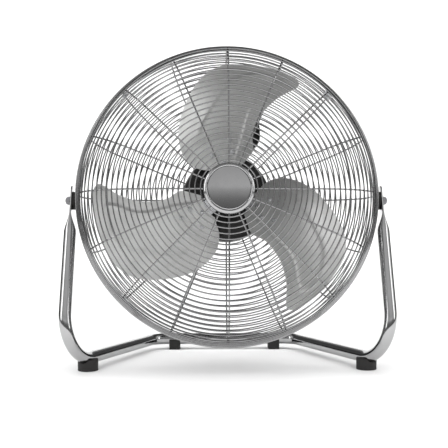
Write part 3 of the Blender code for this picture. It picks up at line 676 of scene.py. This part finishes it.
def blade_shape(turn, rows=96, columns=72):
    """A thin pressed sheet with a bead, closed round its edge."""
    shape = Shape()
    half = BLADE_THICKNESS / 2.0
    front, back = [], []
    for row in range(rows + 1):
        radius, trailing, leading = catmull(
            BLADE_OUTLINE, row * (len(BLADE_OUTLINE) - 1) / rows
        )
        trailing, leading = math.radians(trailing), math.radians(leading)
        near, far = [], []
        for column in range(columns + 1):
            angle = trailing + (leading - trailing) * column / columns
            rise = emboss(radius, angle)
            thick = half / math.cos(pitch_at(radius))
            y = blade_y(radius, angle) - rise
            near.append(about_axis((radius, y - thick), angle + turn))
            far.append(about_axis((radius, y + thick), angle + turn))
        front.append(near)
        back.append(far)
    return shape.sheet(front, back)


for number in range(BLADES):
    turn = TAU * number / BLADES
    piece(
        f"blade_{number + 1}_pressing",
        blade_shape(turn),
        "satin_aluminium",
        "rotor",
        f"blade_{number + 1}",
        crease=50.0,
    )


# ---- stand

END_X = 0.2735
TUBE_RADIUS = 0.0108
END_HALF_WIDTH = 0.016
END_HALF_THICKNESS = 0.0020
FRONT_CORNER = Vector((0.2756, -0.1207, 0.0218))
REAR_CORNER = Vector((0.1357, 0.184, 0.0196))
FRONT_BEND = 0.062
REAR_BEND = 0.036


def smooth(value):
    value = min(max(value, 0.0), 1.0)
    return value * value * (3.0 - 2.0 * value)


def bend(before, corner, after, radius, steps):
    """Points round the arc that rounds a corner of the tube."""
    first = (before - corner).normalized()
    second = (after - corner).normalized()
    half = first.angle(second) / 2.0
    centre = corner + (first + second).normalized() * (radius / math.sin(half))
    start = corner + first * (radius / math.tan(half)) - centre
    end = corner + second * (radius / math.tan(half)) - centre
    turn = start.angle(end)
    return [
        centre
        + start * (math.sin(turn * (1.0 - step / steps)) / math.sin(turn))
        + end * (math.sin(turn * step / steps) / math.sin(turn))
        for step in range(steps + 1)
    ]


def stand_half():
    """Middle point, half width and half thickness down one side of the tube."""
    pivot = Vector((END_X, 0.0, PIVOT.z))
    down = (FRONT_CORNER - pivot).normalized()
    flat = END_HALF_THICKNESS
    stations = []
    for step in range(13):
        angle = math.pi / 2.0 * step / 12.0
        width = END_HALF_WIDTH * math.sin(angle)
        above = 0.0270 - 0.0125 * (1.0 - math.cos(angle))
        if width > 0.001:
            stations.append((pivot - down * above, width, flat * min(1.0, 0.45 + angle)))
    stations.append((pivot + down * 0.010, END_HALF_WIDTH, flat))
    for step in range(15):
        part = step / 14.0
        run = 0.025 + 0.035 * part
        blend_in = smooth(part)
        stations.append(
            (
                pivot + down * run,
                END_HALF_WIDTH + (TUBE_RADIUS - END_HALF_WIDTH) * blend_in,
                flat + (TUBE_RADIUS - flat) * blend_in,
            )
        )
    middle = Vector((0.0, REAR_CORNER.y, REAR_CORNER.z))
    path = bend(pivot, FRONT_CORNER, REAR_CORNER, FRONT_BEND, 32)
    path += bend(FRONT_CORNER, REAR_CORNER, middle, REAR_BEND, 20)
    path.append(middle)
    return stations + [(point, TUBE_RADIUS, TUBE_RADIUS) for point in path]


def stand_shape(sides=48):
    """The whole tube: one side, then its mirror image."""
    stations = stand_half()
    points = [station[0] for station in stations]
    points.append(Vector((-points[-2].x, points[-2].y, points[-2].z)))
    across = Vector((1.0, 0.0, 0.0))
    rows = []
    for index, (point, width, thickness) in enumerate(stations):
        along = (points[index + 1] - points[max(index - 1, 0)]).normalized()
        across = (across - along * across.dot(along)).normalized()
        side = along.cross(across)
        power = 1.0 - 0.65 * (1.0 - thickness / TUBE_RADIUS)
        row = []
        for step in range(sides):
            angle = TAU * step / sides
            wide = math.copysign(abs(math.cos(angle)) ** power, math.cos(angle))
            thick = math.copysign(abs(math.sin(angle)) ** power, math.sin(angle))
            row.append(point + side * width * wide + across * thickness * thick)
        rows.append(row)
    rows += [[Vector((-spot.x, spot.y, spot.z)) for spot in row] for row in rows[-2::-1]]
    shape = Shape()
    start = shape.grid(rows, close_columns=True)
    shape.cap(range(start, start + sides))
    end = start + (len(rows) - 1) * sides
    shape.cap(range(end, end + sides))
    return shape


piece(
    "stand_tube_polished",
    stand_shape(),
    "chrome",
    "stand",
    "stand_tube",
    place=Matrix.Translation((0.0, PIVOT.y, 0.0)),
)


# ---- feet

FRONT_FOOT = (0.2412, -0.075302)
FRONT_FOOT_RADIUS = 0.0176
FRONT_FOOT_HEIGHT = 0.0205
REAR_FOOT = (0.097, 0.154475)
REAR_FOOT_SIZE = (0.0215, 0.030)
REAR_FOOT_HEIGHT = 0.0196
FOOT_REACH = 0.034
LIP_TOP = 0.0032


def stand_line():
    """Close points down the middle of the right half of the tube, in world coordinates."""
    points = [station[0] for station in stand_half()][26:]
    line = []
    for near, far in zip(points, points[1:]):
        count = max(1, int((far - near).length / 0.001))
        line += [near.lerp(far, step / count) for step in range(count)]
    return [Vector((spot.x, spot.y + PIVOT.y, spot.z)) for spot in line]


STAND_LINE = stand_line()


def under_tube(x, y, near):
    """The height of the tube's underside above this spot."""
    best = 1.0
    for spot in near:
        left = TUBE_RADIUS**2 - (x - spot.x) ** 2 - (y - spot.y) ** 2
        if left > 0.0:
            best = min(best, spot.z - math.sqrt(left))
    return best


def foot(name, centre, side, outline, height):
    """A moulded foot with a lip at the floor, and a saddle that the tube lies in."""
    near = [
        spot
        for spot in STAND_LINE
        if abs(spot.x - centre[0]) < FOOT_REACH and abs(spot.y - centre[1]) < FOOT_REACH
    ]
    rows = []
    parts = (0.08, 0.2, 0.32, 0.44, 0.56, 0.66, 0.76, 0.84, 0.90, 0.95, 0.98, 1.0)
    for part in parts:
        row = []
        for u, v in outline:
            x, y = centre[0] + u * part, centre[1] + v * part
            edge = 0.0012 * max(0.0, (part - 0.90) / 0.10) ** 2
            z = min(height, under_tube(x, y, near) - 0.0005) - edge
            row.append(Vector((x * side, y, z)))
        rows.append(row)
    rim = rows[-1]
    for share in (0.8, 0.6, 0.4):
        rows.append(
            [Vector((spot.x, spot.y, LIP_TOP + (spot.z - LIP_TOP) * share)) for spot in rim]
        )
    low = ((0.985, LIP_TOP), (0.985, 0.0026), (1.0, 0.0022), (1.0, 0.0009), (0.975, 0.0))
    for flare, z in low + ((0.80, 0.0), (0.76, 0.0008), (0.3, 0.0008)):
        rows.append(
            [
                Vector(((centre[0] + u * flare) * side, centre[1] + v * flare, z))
                for u, v in outline
            ]
        )
    shape = Shape().loops(rows)
    piece(name + "_moulding", shape, "black_rubber", "stand", name, place=WORLD, crease=45.0)


CIRCLE = [
    (FRONT_FOOT_RADIUS * math.cos(TAU * step / 72), FRONT_FOOT_RADIUS * math.sin(TAU * step / 72))
    for step in range(72)
]
EDGE = oblong(*REAR_FOOT_SIZE, 0.003)
BLOCK = [
    spot
    for near, far in zip(EDGE, EDGE[1:])
    for spot in (near, ((near[0] + far[0]) / 2.0, (near[1] + far[1]) / 2.0))
]
SIDES = (("left", -1.0), ("right", 1.0))
for word, side in SIDES:
    foot(f"front_foot_{word}", FRONT_FOOT, side, CIRCLE, FRONT_FOOT_HEIGHT)
    foot(f"rear_foot_{word}", REAR_FOOT, side, BLOCK, REAR_FOOT_HEIGHT)


# ---- tilt clamps

for word, side in SIDES:
    place = HEAD @ aimed((0.0, 0.0, 0.0), (side, 0.0, 0.0))
    bracket = Shape().slab(oblong(0.025, 0.034, 0.004), 0.2617, 0.2644, 0.0006)
    bracket.revolve(
        [(0.0, 0.2610), (0.0052, 0.2611), (0.0058, 0.2616), (0.0058, 0.2620), (0.0, 0.2620)], 40
    )
    piece(f"pivot_bracket_{word}_pressing", bracket, "bright_steel", "head",
          f"pivot_bracket_{word}", place=place)
    stud = [(0.0, 0.2647), (0.0080, 0.2647), (0.0080, 0.2658), (0.0030, 0.2658)]
    stud = rounded(stud, 0.0003, 3)
    stud += thread(0.0030, 0.2662, 0.2812) + [(0.0024, 0.2820), (0.0, 0.2820)]
    piece(f"pivot_stud_{word}_turned", Shape().revolve(stud, 48), "bright_steel", "head",
          f"pivot_stud_{word}", place=place)
    spacer = [(0.0034, 0.2661), (0.0160, 0.2661), (0.0160, 0.2679), (0.0154, 0.2686)]
    spacer += [(0.0160, 0.2693), (0.0160, 0.2711), (0.0034, 0.2711)]
    piece(f"pivot_spacer_{word}_moulding",
          Shape().revolve(rounded(spacer, 0.0008, 4, True), 72), "black_rubber", "head",
          f"pivot_spacer_{word}", place=place)
    knob = [(0.0, 0.2823), (0.0033, 0.2823), (0.0033, 0.2758), (0.0070, 0.2758)]
    knob += [(0.0076, 0.2764), (0.0076, 0.2795), (0.0072, 0.2799), (0.0072, 0.2802)]
    for step in range(1, 13):
        angle = math.pi / 2.0 * step / 12.0
        knob.append((0.0071 * math.cos(angle), 0.2803 + 0.0047 * math.sin(angle)))
    knob[-1] = (0.0, 0.2850)

    def grip(radius, y, angle):
        held = radius > 0.0074 and 0.2760 < y < 0.2797
        return radius - (0.00022 if held and math.cos(30.0 * angle) > 0.3 else 0.0), y

    piece(f"pivot_knob_{word}_cap", Shape().revolve(knob, 180, None, grip), "grey_knob",
          f"knob_{word}", f"pivot_knob_{word}", place=place)


# ---- guard clips and cap fixings

for number, degrees in enumerate((45.0, 135.0, 225.0, 315.0), 1):
    angle = math.radians(degrees)
    outwards = Vector((math.cos(angle), 0.0, math.sin(angle)))
    around = Vector((-math.sin(angle), 0.0, math.cos(angle)))
    axes = Matrix((around, outwards, Vector((0.0, 1.0, 0.0)))).transposed().to_4x4()
    place = Matrix.Translation((0.0, -0.02775, 0.0)) @ axes
    clip = Shape().slab(oblong(0.016, 0.034, 0.0035), 0.2505, 0.2525, 0.0005)
    clip.revolve([(0.0, 0.2503), (0.0048, 0.2503), (0.0052, 0.2508), (0.0, 0.2508)], 40)
    piece(f"guard_clip_{number}_pressing", clip, "bright_steel", "head",
          f"guard_clip_{number}", place=FAN @ place)
    fixing = screw(Shape(), Matrix.Translation((0.0, 0.2501, 0.0)), 0.0034, 0.0028, 0.0016, 0.0072)
    piece(f"guard_clip_screw_{number}_turned", fixing, "bright_steel", "head",
          f"guard_clip_screw_{number}", place=FAN @ place)

PLATE_RIM = [(0.0032, -0.1232), (0.0380, -0.1232), (0.0400, -0.1222), (0.0400, -0.1212)]
PLATE_RIM += [(0.0372, -0.1212), (0.0366, -0.1218), (0.0140, -0.1218), (0.0120, -0.1212)]
PLATE_RIM += [(0.0032, -0.1212)]
piece("cap_back_plate_pressing", Shape().revolve(rounded(PLATE_RIM, 0.0005, 3, True), 96),
      "bright_steel", "head", "cap_back_plate")
piece("cap_screw_turned",
      screw(Shape(), aimed((0.0, -0.1209, 0.0), (0.0, -1.0, 0.0)), 0.0050, 0.0031, 0.0026, 0.0095),
      "bright_steel", "head", "cap_screw")


# ---- hub, rivets and shaft

RIVET_SPOTS = ((0.055, 0.0), (0.0705, -15.5), (0.072, 13.0), (0.091, -12.5))
HUB = [(0.0043, -0.0760), (0.0130, -0.0760), (0.0140, -0.0750), (0.0185, -0.0745)]
HUB += [(0.0205, -0.0725), (0.0205, -0.0300), (0.0160, -0.0300), (0.0150, -0.0312)]
HUB += [(0.0090, -0.0312), (0.0080, -0.0300), (0.0043, -0.0300)]


def blade_normal(radius, angle):
    """The way that a rivet stands on the blade."""
    step = 0.0005
    out = Vector((math.cos(angle), 0.0, math.sin(angle)))
    around = Vector((-math.sin(angle), 0.0, math.cos(angle)))
    rise_out = (blade_y(radius + step, angle) - blade_y(radius - step, angle)) / (2.0 * step)
    turn = step / radius
    rise_around = (blade_y(radius, angle + turn) - blade_y(radius, angle - turn)) / (2.0 * step)
    return (Vector((0.0, 1.0, 0.0)) - out * rise_out - around * rise_around).normalized()


def hub_arm(shape, turn):
    """A pressed arm behind the blade, with a round end and a stiffening rib."""
    start, tip, thickness = 0.012, 0.098, 0.0022
    offset = BLADE_THICKNESS / 2.0 + 0.0003 + thickness / 2.0 + 0.0010
    front, back = [], []
    for row in range(41):
        radius = start + (tip - start) * math.sin(math.pi / 2.0 * row / 40.0)
        middle = middle_at(max(radius, 0.052))
        width = 0.0125 + 0.0120 * smooth((radius - 0.045) / 0.020)
        half = min(width / radius, math.radians(48.0))
        half *= math.sqrt(max(0.02, 1.0 - max(0.0, (radius - 0.080) / 0.0181) ** 2))
        near, far = [], []
        for column in range(17):
            share = column / 8.0 - 1.0
            angle = middle + half * share
            rib = 0.0008 * math.exp(-((share / 0.22) ** 2)) * smooth((radius - 0.02) / 0.01)
            y = blade_y(radius, angle) + offset + rib
            near.append(about_axis((radius, y - thickness / 2.0), angle + turn))
            far.append(about_axis((radius, y + thickness / 2.0), angle + turn))
        front.append(near)
        back.append(far)
    return shape.sheet(front, back)


hub = Shape().revolve(rounded(HUB, 0.0012, 4, True), 96)
for number in range(BLADES):
    turn = TAU * number / BLADES
    hub_arm(hub, turn)
    for rivet, (radius, degrees) in enumerate(RIVET_SPOTS, 1):
        angle = middle_at(radius) + math.radians(degrees)
        spot = about_axis((radius, blade_y(radius, angle)), angle)
        seat = Matrix.Rotation(-turn, 4, "Y") @ aimed(spot, blade_normal(radius, angle))
        head = [(0.0, -0.0032)]
        for step in range(1, 9):
            sweep_angle = math.pi / 2.0 * step / 8.0
            head.append((0.0041 * math.sin(sweep_angle), -0.0013 - 0.0019 * math.cos(sweep_angle)))
        head += [(0.0041, -0.0010), (0.0022, -0.0009), (0.0022, 0.0034), (0.0034, 0.0036)]
        head += [(0.0032, 0.0043), (0.0020, 0.0046), (0.0, 0.0046)]
        if rivet > 2:
            hub.revolve(head, 40, seat)
            continue
        node = f"blade_rivet_{number + 1}_{rivet}"
        piece(f"{node}_headed", Shape().revolve(head, 40, seat), "bright_steel", "rotor", node)
piece("blade_hub_pressing", hub, "bright_steel", "rotor", "blade_hub", crease=45.0)
SHAFT = [(0.0, -0.0740), (0.0034, -0.0740), (0.0040, -0.0734), (0.0040, -0.0290)]
SHAFT += [(0.0037, -0.0286), (0.0037, -0.0278), (0.0040, -0.0274), (0.0040, 0.0412)]
SHAFT += [(0.0033, 0.0420), (0.0, 0.0420)]
piece("fan_shaft_ground", Shape().revolve(SHAFT, 64), "bright_steel", "rotor", "fan_shaft")


# ---- motor

FRONT_BELL = [(0.0113, -0.0060), (0.0200, -0.0060), (0.0225, -0.0048), (0.0480, -0.0030)]
FRONT_BELL += [(0.0660, 0.0008), (0.0710, 0.0022), (0.0755, 0.0062), (0.0770, 0.0110)]
FRONT_BELL += [(0.0770, 0.0165), (0.0764, 0.0172), (0.0770, 0.0180), (0.0770, 0.0215)]
FRONT_BELL += [(0.0744, 0.0215), (0.0744, 0.0100), (0.0690, 0.0045), (0.0480, -0.0004)]
FRONT_BELL += [(0.0180, -0.0030), (0.0175, 0.0015), (0.0113, 0.0015)]
REAR_BELL = [(0.0113, 0.0483), (0.0200, 0.0483), (0.0210, 0.0476), (0.0640, 0.0476)]
REAR_BELL += [(0.0650, 0.0483), (0.0700, 0.0483), (0.0755, 0.0468), (0.0770, 0.0420)]
REAR_BELL += [(0.0770, 0.0252), (0.0764, 0.0246), (0.0770, 0.0240), (0.0770, 0.0218)]
REAR_BELL += [(0.0744, 0.0218), (0.0744, 0.0415), (0.0696, 0.0457), (0.0175, 0.0457)]
REAR_BELL += [(0.0175, 0.0398), (0.0113, 0.0398)]


def dense(profile, step=0.004):
    """Adds points along the long sides of a closed profile."""
    out = []
    for index, near in enumerate(profile):
        far = profile[(index + 1) % len(profile)]
        count = max(1, int((Vector(far) - Vector(near)).length / step))
        out += [tuple(Vector(near).lerp(Vector(far), part / count)) for part in range(count)]
    return out


def front_ribs(radius, y, angle):
    """Raised ribs on the sloping front, between the boss and the edge."""
    on_front = 0.024 < radius < 0.070 and y < -0.0016 + 0.0042 * max(0.0, radius - 0.048) / 0.02
    wave = max(0.0, math.cos(12.0 * angle)) ** 10
    fade = smooth((radius - 0.026) / 0.006) * smooth((0.068 - radius) / 0.006)
    return radius, y - (0.0010 * wave * fade if on_front else 0.0)


def side_ribs(radius, y, angle):
    """Cooling ribs round the rear shell."""
    outside = radius > 0.0765 and 0.027 < y < 0.042
    wave = max(0.0, math.cos(30.0 * angle)) ** 3
    fade = smooth((y - 0.027) / 0.002) * smooth((0.042 - y) / 0.003)
    return radius + (0.0010 * wave * fade if outside else 0.0), y


def slots(radius, y, angle):
    """The slots for the windings."""
    cut = radius < 0.0452 and math.cos(24.0 * angle) > 0.35
    return radius + (0.0035 if cut else 0.0), y


piece("motor_front_bell_cast",
      Shape().revolve(dense(rounded(FRONT_BELL, 0.0010, 3, True)), 288, None, front_ribs),
      "black_paint", "head", "motor_front_bell", crease=50.0)
piece("motor_rear_bell_cast",
      Shape().revolve(dense(rounded(REAR_BELL, 0.0010, 3, True)), 360, None, side_ribs),
      "black_paint", "head", "motor_rear_bell", crease=50.0)
STATOR = [(0.0450, 0.0110), (0.0738, 0.0110), (0.0738, 0.0380), (0.0450, 0.0380)]
piece("motor_stator_stack",
      Shape().revolve(dense(rounded(STATOR, 0.0006, 3, True)), 288, None, slots),
      "core_laminations", "head", "motor_stator", crease=30.0)
CAGE_CORE = [(0.0043, 0.0120), (0.0240, 0.0120), (0.0260, 0.0128), (0.0340, 0.0128)]
CAGE_CORE += [(0.0350, 0.0120), (0.0435, 0.0120), (0.0435, 0.0370), (0.0350, 0.0370)]
CAGE_CORE += [(0.0340, 0.0362), (0.0260, 0.0362), (0.0240, 0.0370), (0.0043, 0.0370)]
piece("motor_rotor_stack", Shape().revolve(rounded(CAGE_CORE, 0.0005, 3, True), 120),
      "core_laminations", "rotor", "motor_rotor")
for word, low in (("front", -0.0055), ("rear", 0.0408)):
    race = [(0.0043, 0.0), (0.0062, 0.0), (0.0064, 0.0006), (0.0088, 0.0006), (0.0090, 0.0)]
    race += [(0.0110, 0.0), (0.0110, 0.0065), (0.0090, 0.0065), (0.0088, 0.0059)]
    race += [(0.0064, 0.0059), (0.0062, 0.0065), (0.0043, 0.0065)]
    piece(f"bearing_{word}_races",
          Shape().revolve([(r, y + low) for r, y in rounded(race, 0.0003, 3, True)], 72),
          "bright_steel", "head", f"bearing_{word}")
MOUNT = [(0.0, 0.0530), (0.0715, 0.0530), (0.0725, 0.0540), (0.0725, 0.0545), (0.0700, 0.0552)]
MOUNT += [(0.0480, 0.0552), (0.0470, 0.0546), (0.0300, 0.0546), (0.0290, 0.0552), (0.0, 0.0552)]
piece("motor_mount_plate_pressing", Shape().revolve(rounded(MOUNT, 0.0006, 3), 128),
      "black_paint", "head", "motor_mount_plate")
MOTOR_SCREW_CIRCLE = 0.060
MOTOR_SCREW_ANGLE = 33.75
for number in range(4):
    angle = math.radians(MOTOR_SCREW_ANGLE + 90.0 * number)
    out, up = MOTOR_SCREW_CIRCLE * math.cos(angle), MOTOR_SCREW_CIRCLE * math.sin(angle)
    spot = (out, 0.0555, up)
    fixing = screw(Shape(), aimed(spot, (0.0, -1.0, 0.0)), 0.0046, 0.0034, 0.0020, 0.0122)
    piece(f"motor_screw_{number + 1}_turned", fixing, "bright_steel", "head",
          f"motor_screw_{number + 1}")


# ---- control box

BOX_OUTLINE = [(-0.0455, 0.089), (0.0455, 0.089), (0.0630, 0.112), (0.0630, 0.139)]
BOX_OUTLINE += [(0.0540, 0.156), (-0.0540, 0.156), (-0.0630, 0.139), (-0.0630, 0.112)]
BOX_EDGE = rounded(BOX_OUTLINE, 0.006, 5, True)
DIAL_Z = 0.126
DIAL = Matrix.Translation((0.0, 0.0, DIAL_Z))


def level(outline, y):
    return [Vector((x, y, z)) for x, z in outline]


def tray_rows():
    rows = []
    for step in range(5):
        angle = math.pi / 2.0 * step / 4.0
        rows.append(
            level(
                inset(BOX_EDGE, 0.0025 * (1.0 - math.sin(angle))),
                0.0540 + 0.0025 * (1.0 - math.cos(angle)),
            )
        )
    rows += [level(BOX_EDGE, 0.0700), level(BOX_EDGE, 0.0936)]
    rows += [level(inset(BOX_EDGE, 0.0004), 0.0940), level(inset(BOX_EDGE, 0.0021), 0.0940)]
    rows += [level(inset(BOX_EDGE, 0.0025), 0.0936), level(inset(BOX_EDGE, 0.0025), 0.0570)]
    rows += [level(inset(BOX_EDGE, 0.0030), 0.0565)]
    return rows


tub = Shape().loops(tray_rows())
piece("control_box_tray", tub, "black_paint", "head", "control_box", crease=45.0)
cover = Shape().slab(BOX_EDGE, 0.0943, 0.0968, 0.0008)
for degrees in (0.0, 30.0, 60.0, 90.0):
    turned = DIAL @ Matrix.Rotation(math.radians(degrees), 4, "Y")
    mark = oblong(0.0012, 0.0050, 0.0005, 0.0, 0.0225)
    cover.slab(mark, 0.0966, 0.09712, 0.00008, turned)
for x, z in ((-0.050, 0.144), (0.050, 0.144), (-0.041, 0.100), (0.041, 0.100)):
    boss = [(0.0, 0.0966), (0.0034, 0.0966), (0.0034, 0.0970), (0.0028, 0.0978), (0.0, 0.0979)]
    cover.revolve(boss, 32, Matrix.Translation((x, 0.0, z)))
piece("control_box_cover_pressing", cover, "black_paint", "head", "control_box_cover")

SWITCH = [(0.0, 0.0756), (0.0140, 0.0756), (0.0150, 0.0766), (0.0150, 0.0926), (0.0140, 0.0936)]
SWITCH += [(0.0034, 0.0936), (0.0034, 0.0876), (0.0, 0.0876)]
switch = Shape().revolve(rounded(SWITCH, 0.0006, 3), 64, DIAL)
for number in range(4):
    angle = TAU * (number + 0.5) / 4.0
    spot = Vector((0.010 * math.cos(angle), 0.0, DIAL_Z + 0.010 * math.sin(angle)))
    switch.slab(oblong(0.0030, 0.0010, 0.0002), 0.0700, 0.0760, 0.0002, Matrix.Translation(spot))
piece("rotary_switch_moulding", switch, "black_plastic", "head", "rotary_switch")
SPINDLE = [(0.0, 0.0879), (0.0025, 0.0879), (0.0030, 0.0884), (0.0030, 0.1072)]
SPINDLE += [(0.0025, 0.1078), (0.0, 0.1078)]
piece("switch_spindle_turned", Shape().revolve(SPINDLE, 48, DIAL), "bright_steel",
      "speed_dial", "switch_spindle")
KNOB = [(0.0, 0.1081), (0.0033, 0.1081), (0.0033, 0.0973), (0.0166, 0.0973), (0.0170, 0.0977)]
KNOB += [(0.0170, 0.0990), (0.0160, 0.1000), (0.0146, 0.1010), (0.0141, 0.1060)]
KNOB += [(0.0136, 0.1108), (0.0126, 0.1121), (0.0090, 0.1123), (0.0, 0.1123)]


def scallops(radius, y, angle):
    """Finger grooves round the knob."""
    held = radius > 0.0130 and 0.1006 < y < 0.1112
    return radius - (0.0005 * (0.5 - 0.5 * math.cos(24.0 * angle)) if held else 0.0), y


knob = Shape().revolve(KNOB, 192, DIAL, scallops)
knob.slab(oblong(0.0044, 0.0262, 0.0018), 0.1105, 0.1162, 0.0010, DIAL)
knob.slab(oblong(0.0014, 0.0060, 0.0006, 0.0, 0.0090), 0.1155, 0.1165, 0.0002, DIAL)
piece("speed_knob_moulding", knob, "black_plastic", "speed_dial", "speed_knob")
run = Shape().slab(oblong(0.0360, 0.0140, 0.0020, 0.0, 0.1030), 0.0570, 0.0770, 0.0015)
for x in (-0.009, 0.009):
    run.slab(oblong(0.0050, 0.0010, 0.0003, x, 0.1030), 0.0765, 0.0815, 0.0002)
piece("run_capacitor_moulding", run, "capacitor_case", "head", "run_capacitor")
strap = Shape().slab(oblong(0.0800, 0.0120, 0.0040, 0.0, 0.1170), 0.0450, 0.0470, 0.0005)
piece("box_clamp_plate_pressing", strap, "bright_steel", "head", "box_clamp_plate")
for word, side in SIDES:
    place = Matrix.Translation((side * 0.032, 0.0447, 0.1170))
    piece(f"box_screw_{word}_turned", screw(Shape(), place, 0.0044, 0.0031, 0.0018, 0.0173),
          "bright_steel", "head", f"box_screw_{word}")
GLAND = [(0.0032, -0.0080), (0.0058, -0.0080), (0.0062, -0.0072), (0.0056, -0.0066)]
GLAND += [(0.0067, -0.0058), (0.0061, -0.0051), (0.0072, -0.0043), (0.0066, -0.0036)]
GLAND += [(0.0078, -0.0028), (0.0078, -0.0003), (0.0049, -0.0003), (0.0049, 0.0060)]
GLAND += [(0.0032, 0.0060)]
gland_place = aimed((-0.026, 0.0740, 0.089), (0.0, 0.0, 1.0))
piece("cord_gland_moulding", Shape().revolve(rounded(GLAND, 0.0003, 3, True), 64, gland_place),
      "black_rubber", "head", "cord_gland")


# ---- stage, light and camera


def sweep():
    """A pale floor that curves up into a backdrop."""
    profile = [(-3.5, 0.0, 4.0), (-0.6, 0.0, 4.0), (1.6, 0.0, 1.9)]
    for step in range(1, 13):
        angle = math.pi / 2.0 * step / 12.0
        profile.append((1.6 + 0.8 * math.sin(angle), 0.8 * (1.0 - math.cos(angle)), 1.7))
    profile.append((2.4, 1.30, 1.7))
    mesh = bpy.data.meshes.new("studio_sweep")
    points = [(x, y, z) for y, z, half in profile for x in (-half, half)]
    faces = [(2 * i, 2 * i + 1, 2 * i + 3, 2 * i + 2) for i in range(len(profile) - 1)]
    mesh.from_pydata(points, [], faces)
    mesh.shade_smooth()
    made = Nodes("studio_white", (0.90, 0.90, 0.90), 0.9)
    made.colour(made.between(made.noise(2.0)), (0.90, 0.90, 0.90), (0.885, 0.885, 0.885))
    mesh.materials.append(made.material)
    item = bpy.data.objects.new("studio_sweep", mesh)
    bpy.context.scene.collection.objects.link(item)


sweep()


def area(name, place, target, size, power, mirrored=True):
    """A soft rectangular light, which mirrors show only when mirrored is set."""
    light = bpy.data.lights.new(name, "AREA")
    light.shape = "RECTANGLE"
    light.size, light.size_y = size
    light.energy = power
    item = bpy.data.objects.new(name, light)
    item.location = place
    item.rotation_euler = (Vector(target) - Vector(place)).to_track_quat("-Z", "Y").to_euler()
    item.visible_glossy = mirrored
    bpy.context.scene.collection.objects.link(item)


area("key_left", (-2.4, -0.9, 1.3), (0.0, 0.0, 0.3), (0.8, 2.0), 13.0)
area("fill_right", (2.4, -0.9, 1.3), (0.0, 0.0, 0.3), (0.8, 2.0), 11.0)
area("overhead", (0.0, 0.0, 3.4), (0.0, 0.2, 0.0), (6.0, 5.0), 112.0, False)
area("backdrop_wash", (0.0, 0.4, 2.6), (0.0, 2.4, 0.5), (3.4, 1.2), 34.0, False)
area("floor_fill", (0.0, -2.4, 1.3), (0.0, 0.0, 0.0), (3.0, 0.8), 38.0, False)


def ramp(tree, value, stops):
    node = tree.nodes.new("ShaderNodeValToRGB")
    elements = node.color_ramp.elements
    while len(elements) > 1:
        elements.remove(elements[-1])
    for index, (place, grey) in enumerate(stops):
        element = elements[0] if index == 0 else elements.new(place)
        element.position = place
        element.color = (grey, grey, grey, 1.0)
    tree.links.new(value, node.inputs[0])
    return node.outputs[0]


WORLD_BY_HEIGHT = (
    (0.0, 0.55), (0.49, 0.32), (0.55, 0.26), (0.585, 0.40), (0.602, 0.62), (0.618, 0.78),
    (0.626, 1.05), (0.70, 0.84), (0.78, 0.96), (0.88, 1.00), (0.94, 0.44), (1.0, 0.34),
)
WORLD_BY_SIDE = ((0.0, 0.86), (0.36, 0.90), (0.46, 0.66), (0.56, 0.66), (0.66, 1.0), (1.0, 0.9))
WORLD_BY_DEPTH = (
    (0.0, 1.0), (0.57, 1.0), (0.65, 0.30), (0.75, 0.10), (0.85, 0.16), (0.90, 0.40),
    (1.0, 0.46),
)
WORLD_STRENGTH = 0.80


def from_both_ways(tree, value):
    """Moves a value between -1 and 1 to between 0 and 1."""
    node = tree.nodes.new("ShaderNodeMapRange")
    node.inputs["From Min"].default_value = -1.0
    tree.links.new(value, node.inputs["Value"])
    return node.outputs[0]


def studio_world():
    """A soft room whose brightness depends on the height, the side and the depth looked at."""
    world = bpy.data.worlds.new("studio")
    world.use_nodes = True
    tree = world.node_tree
    split = tree.nodes.new("ShaderNodeSeparateXYZ")
    way = tree.nodes.new("ShaderNodeTexCoord").outputs["Generated"]
    tree.links.new(way, split.inputs[0])
    side = tree.nodes.new("ShaderNodeMath")
    side.operation = "ABSOLUTE"
    tree.links.new(split.outputs["X"], side.inputs[0])
    product = ramp(tree, from_both_ways(tree, split.outputs["Z"]), WORLD_BY_HEIGHT)
    wide = ramp(tree, side.outputs[0], WORLD_BY_SIDE)
    deep = ramp(tree, from_both_ways(tree, split.outputs["Y"]), WORLD_BY_DEPTH)
    for factor in (wide, deep):
        multiply = tree.nodes.new("ShaderNodeVectorMath")
        multiply.operation = "MULTIPLY"
        tree.links.new(product, multiply.inputs[0])
        tree.links.new(factor, multiply.inputs[1])
        product = multiply.outputs[0]
    shade = tree.nodes["Background"]
    tree.links.new(product, shade.inputs["Color"])
    shade.inputs["Strength"].default_value = WORLD_STRENGTH
    bpy.context.scene.world = world


studio_world()
bpy.context.scene.view_settings.view_transform = "Standard"

LENS_MM = 77.29
CAMERA_SPOT = (-0.0505, -1.7325, 0.3042)
CAMERA_WAY = Vector((0.02657, 0.99916, -0.03129))
camera_data = bpy.data.cameras.new("camera")
camera_data.sensor_width = 36.0
camera_data.lens = LENS_MM
camera = bpy.data.objects.new("camera", camera_data)
camera.location = CAMERA_SPOT
camera.rotation_euler = CAMERA_WAY.to_track_quat("-Z", "Y").to_euler()
bpy.context.scene.collection.objects.link(camera)
bpy.context.scene.camera = camera
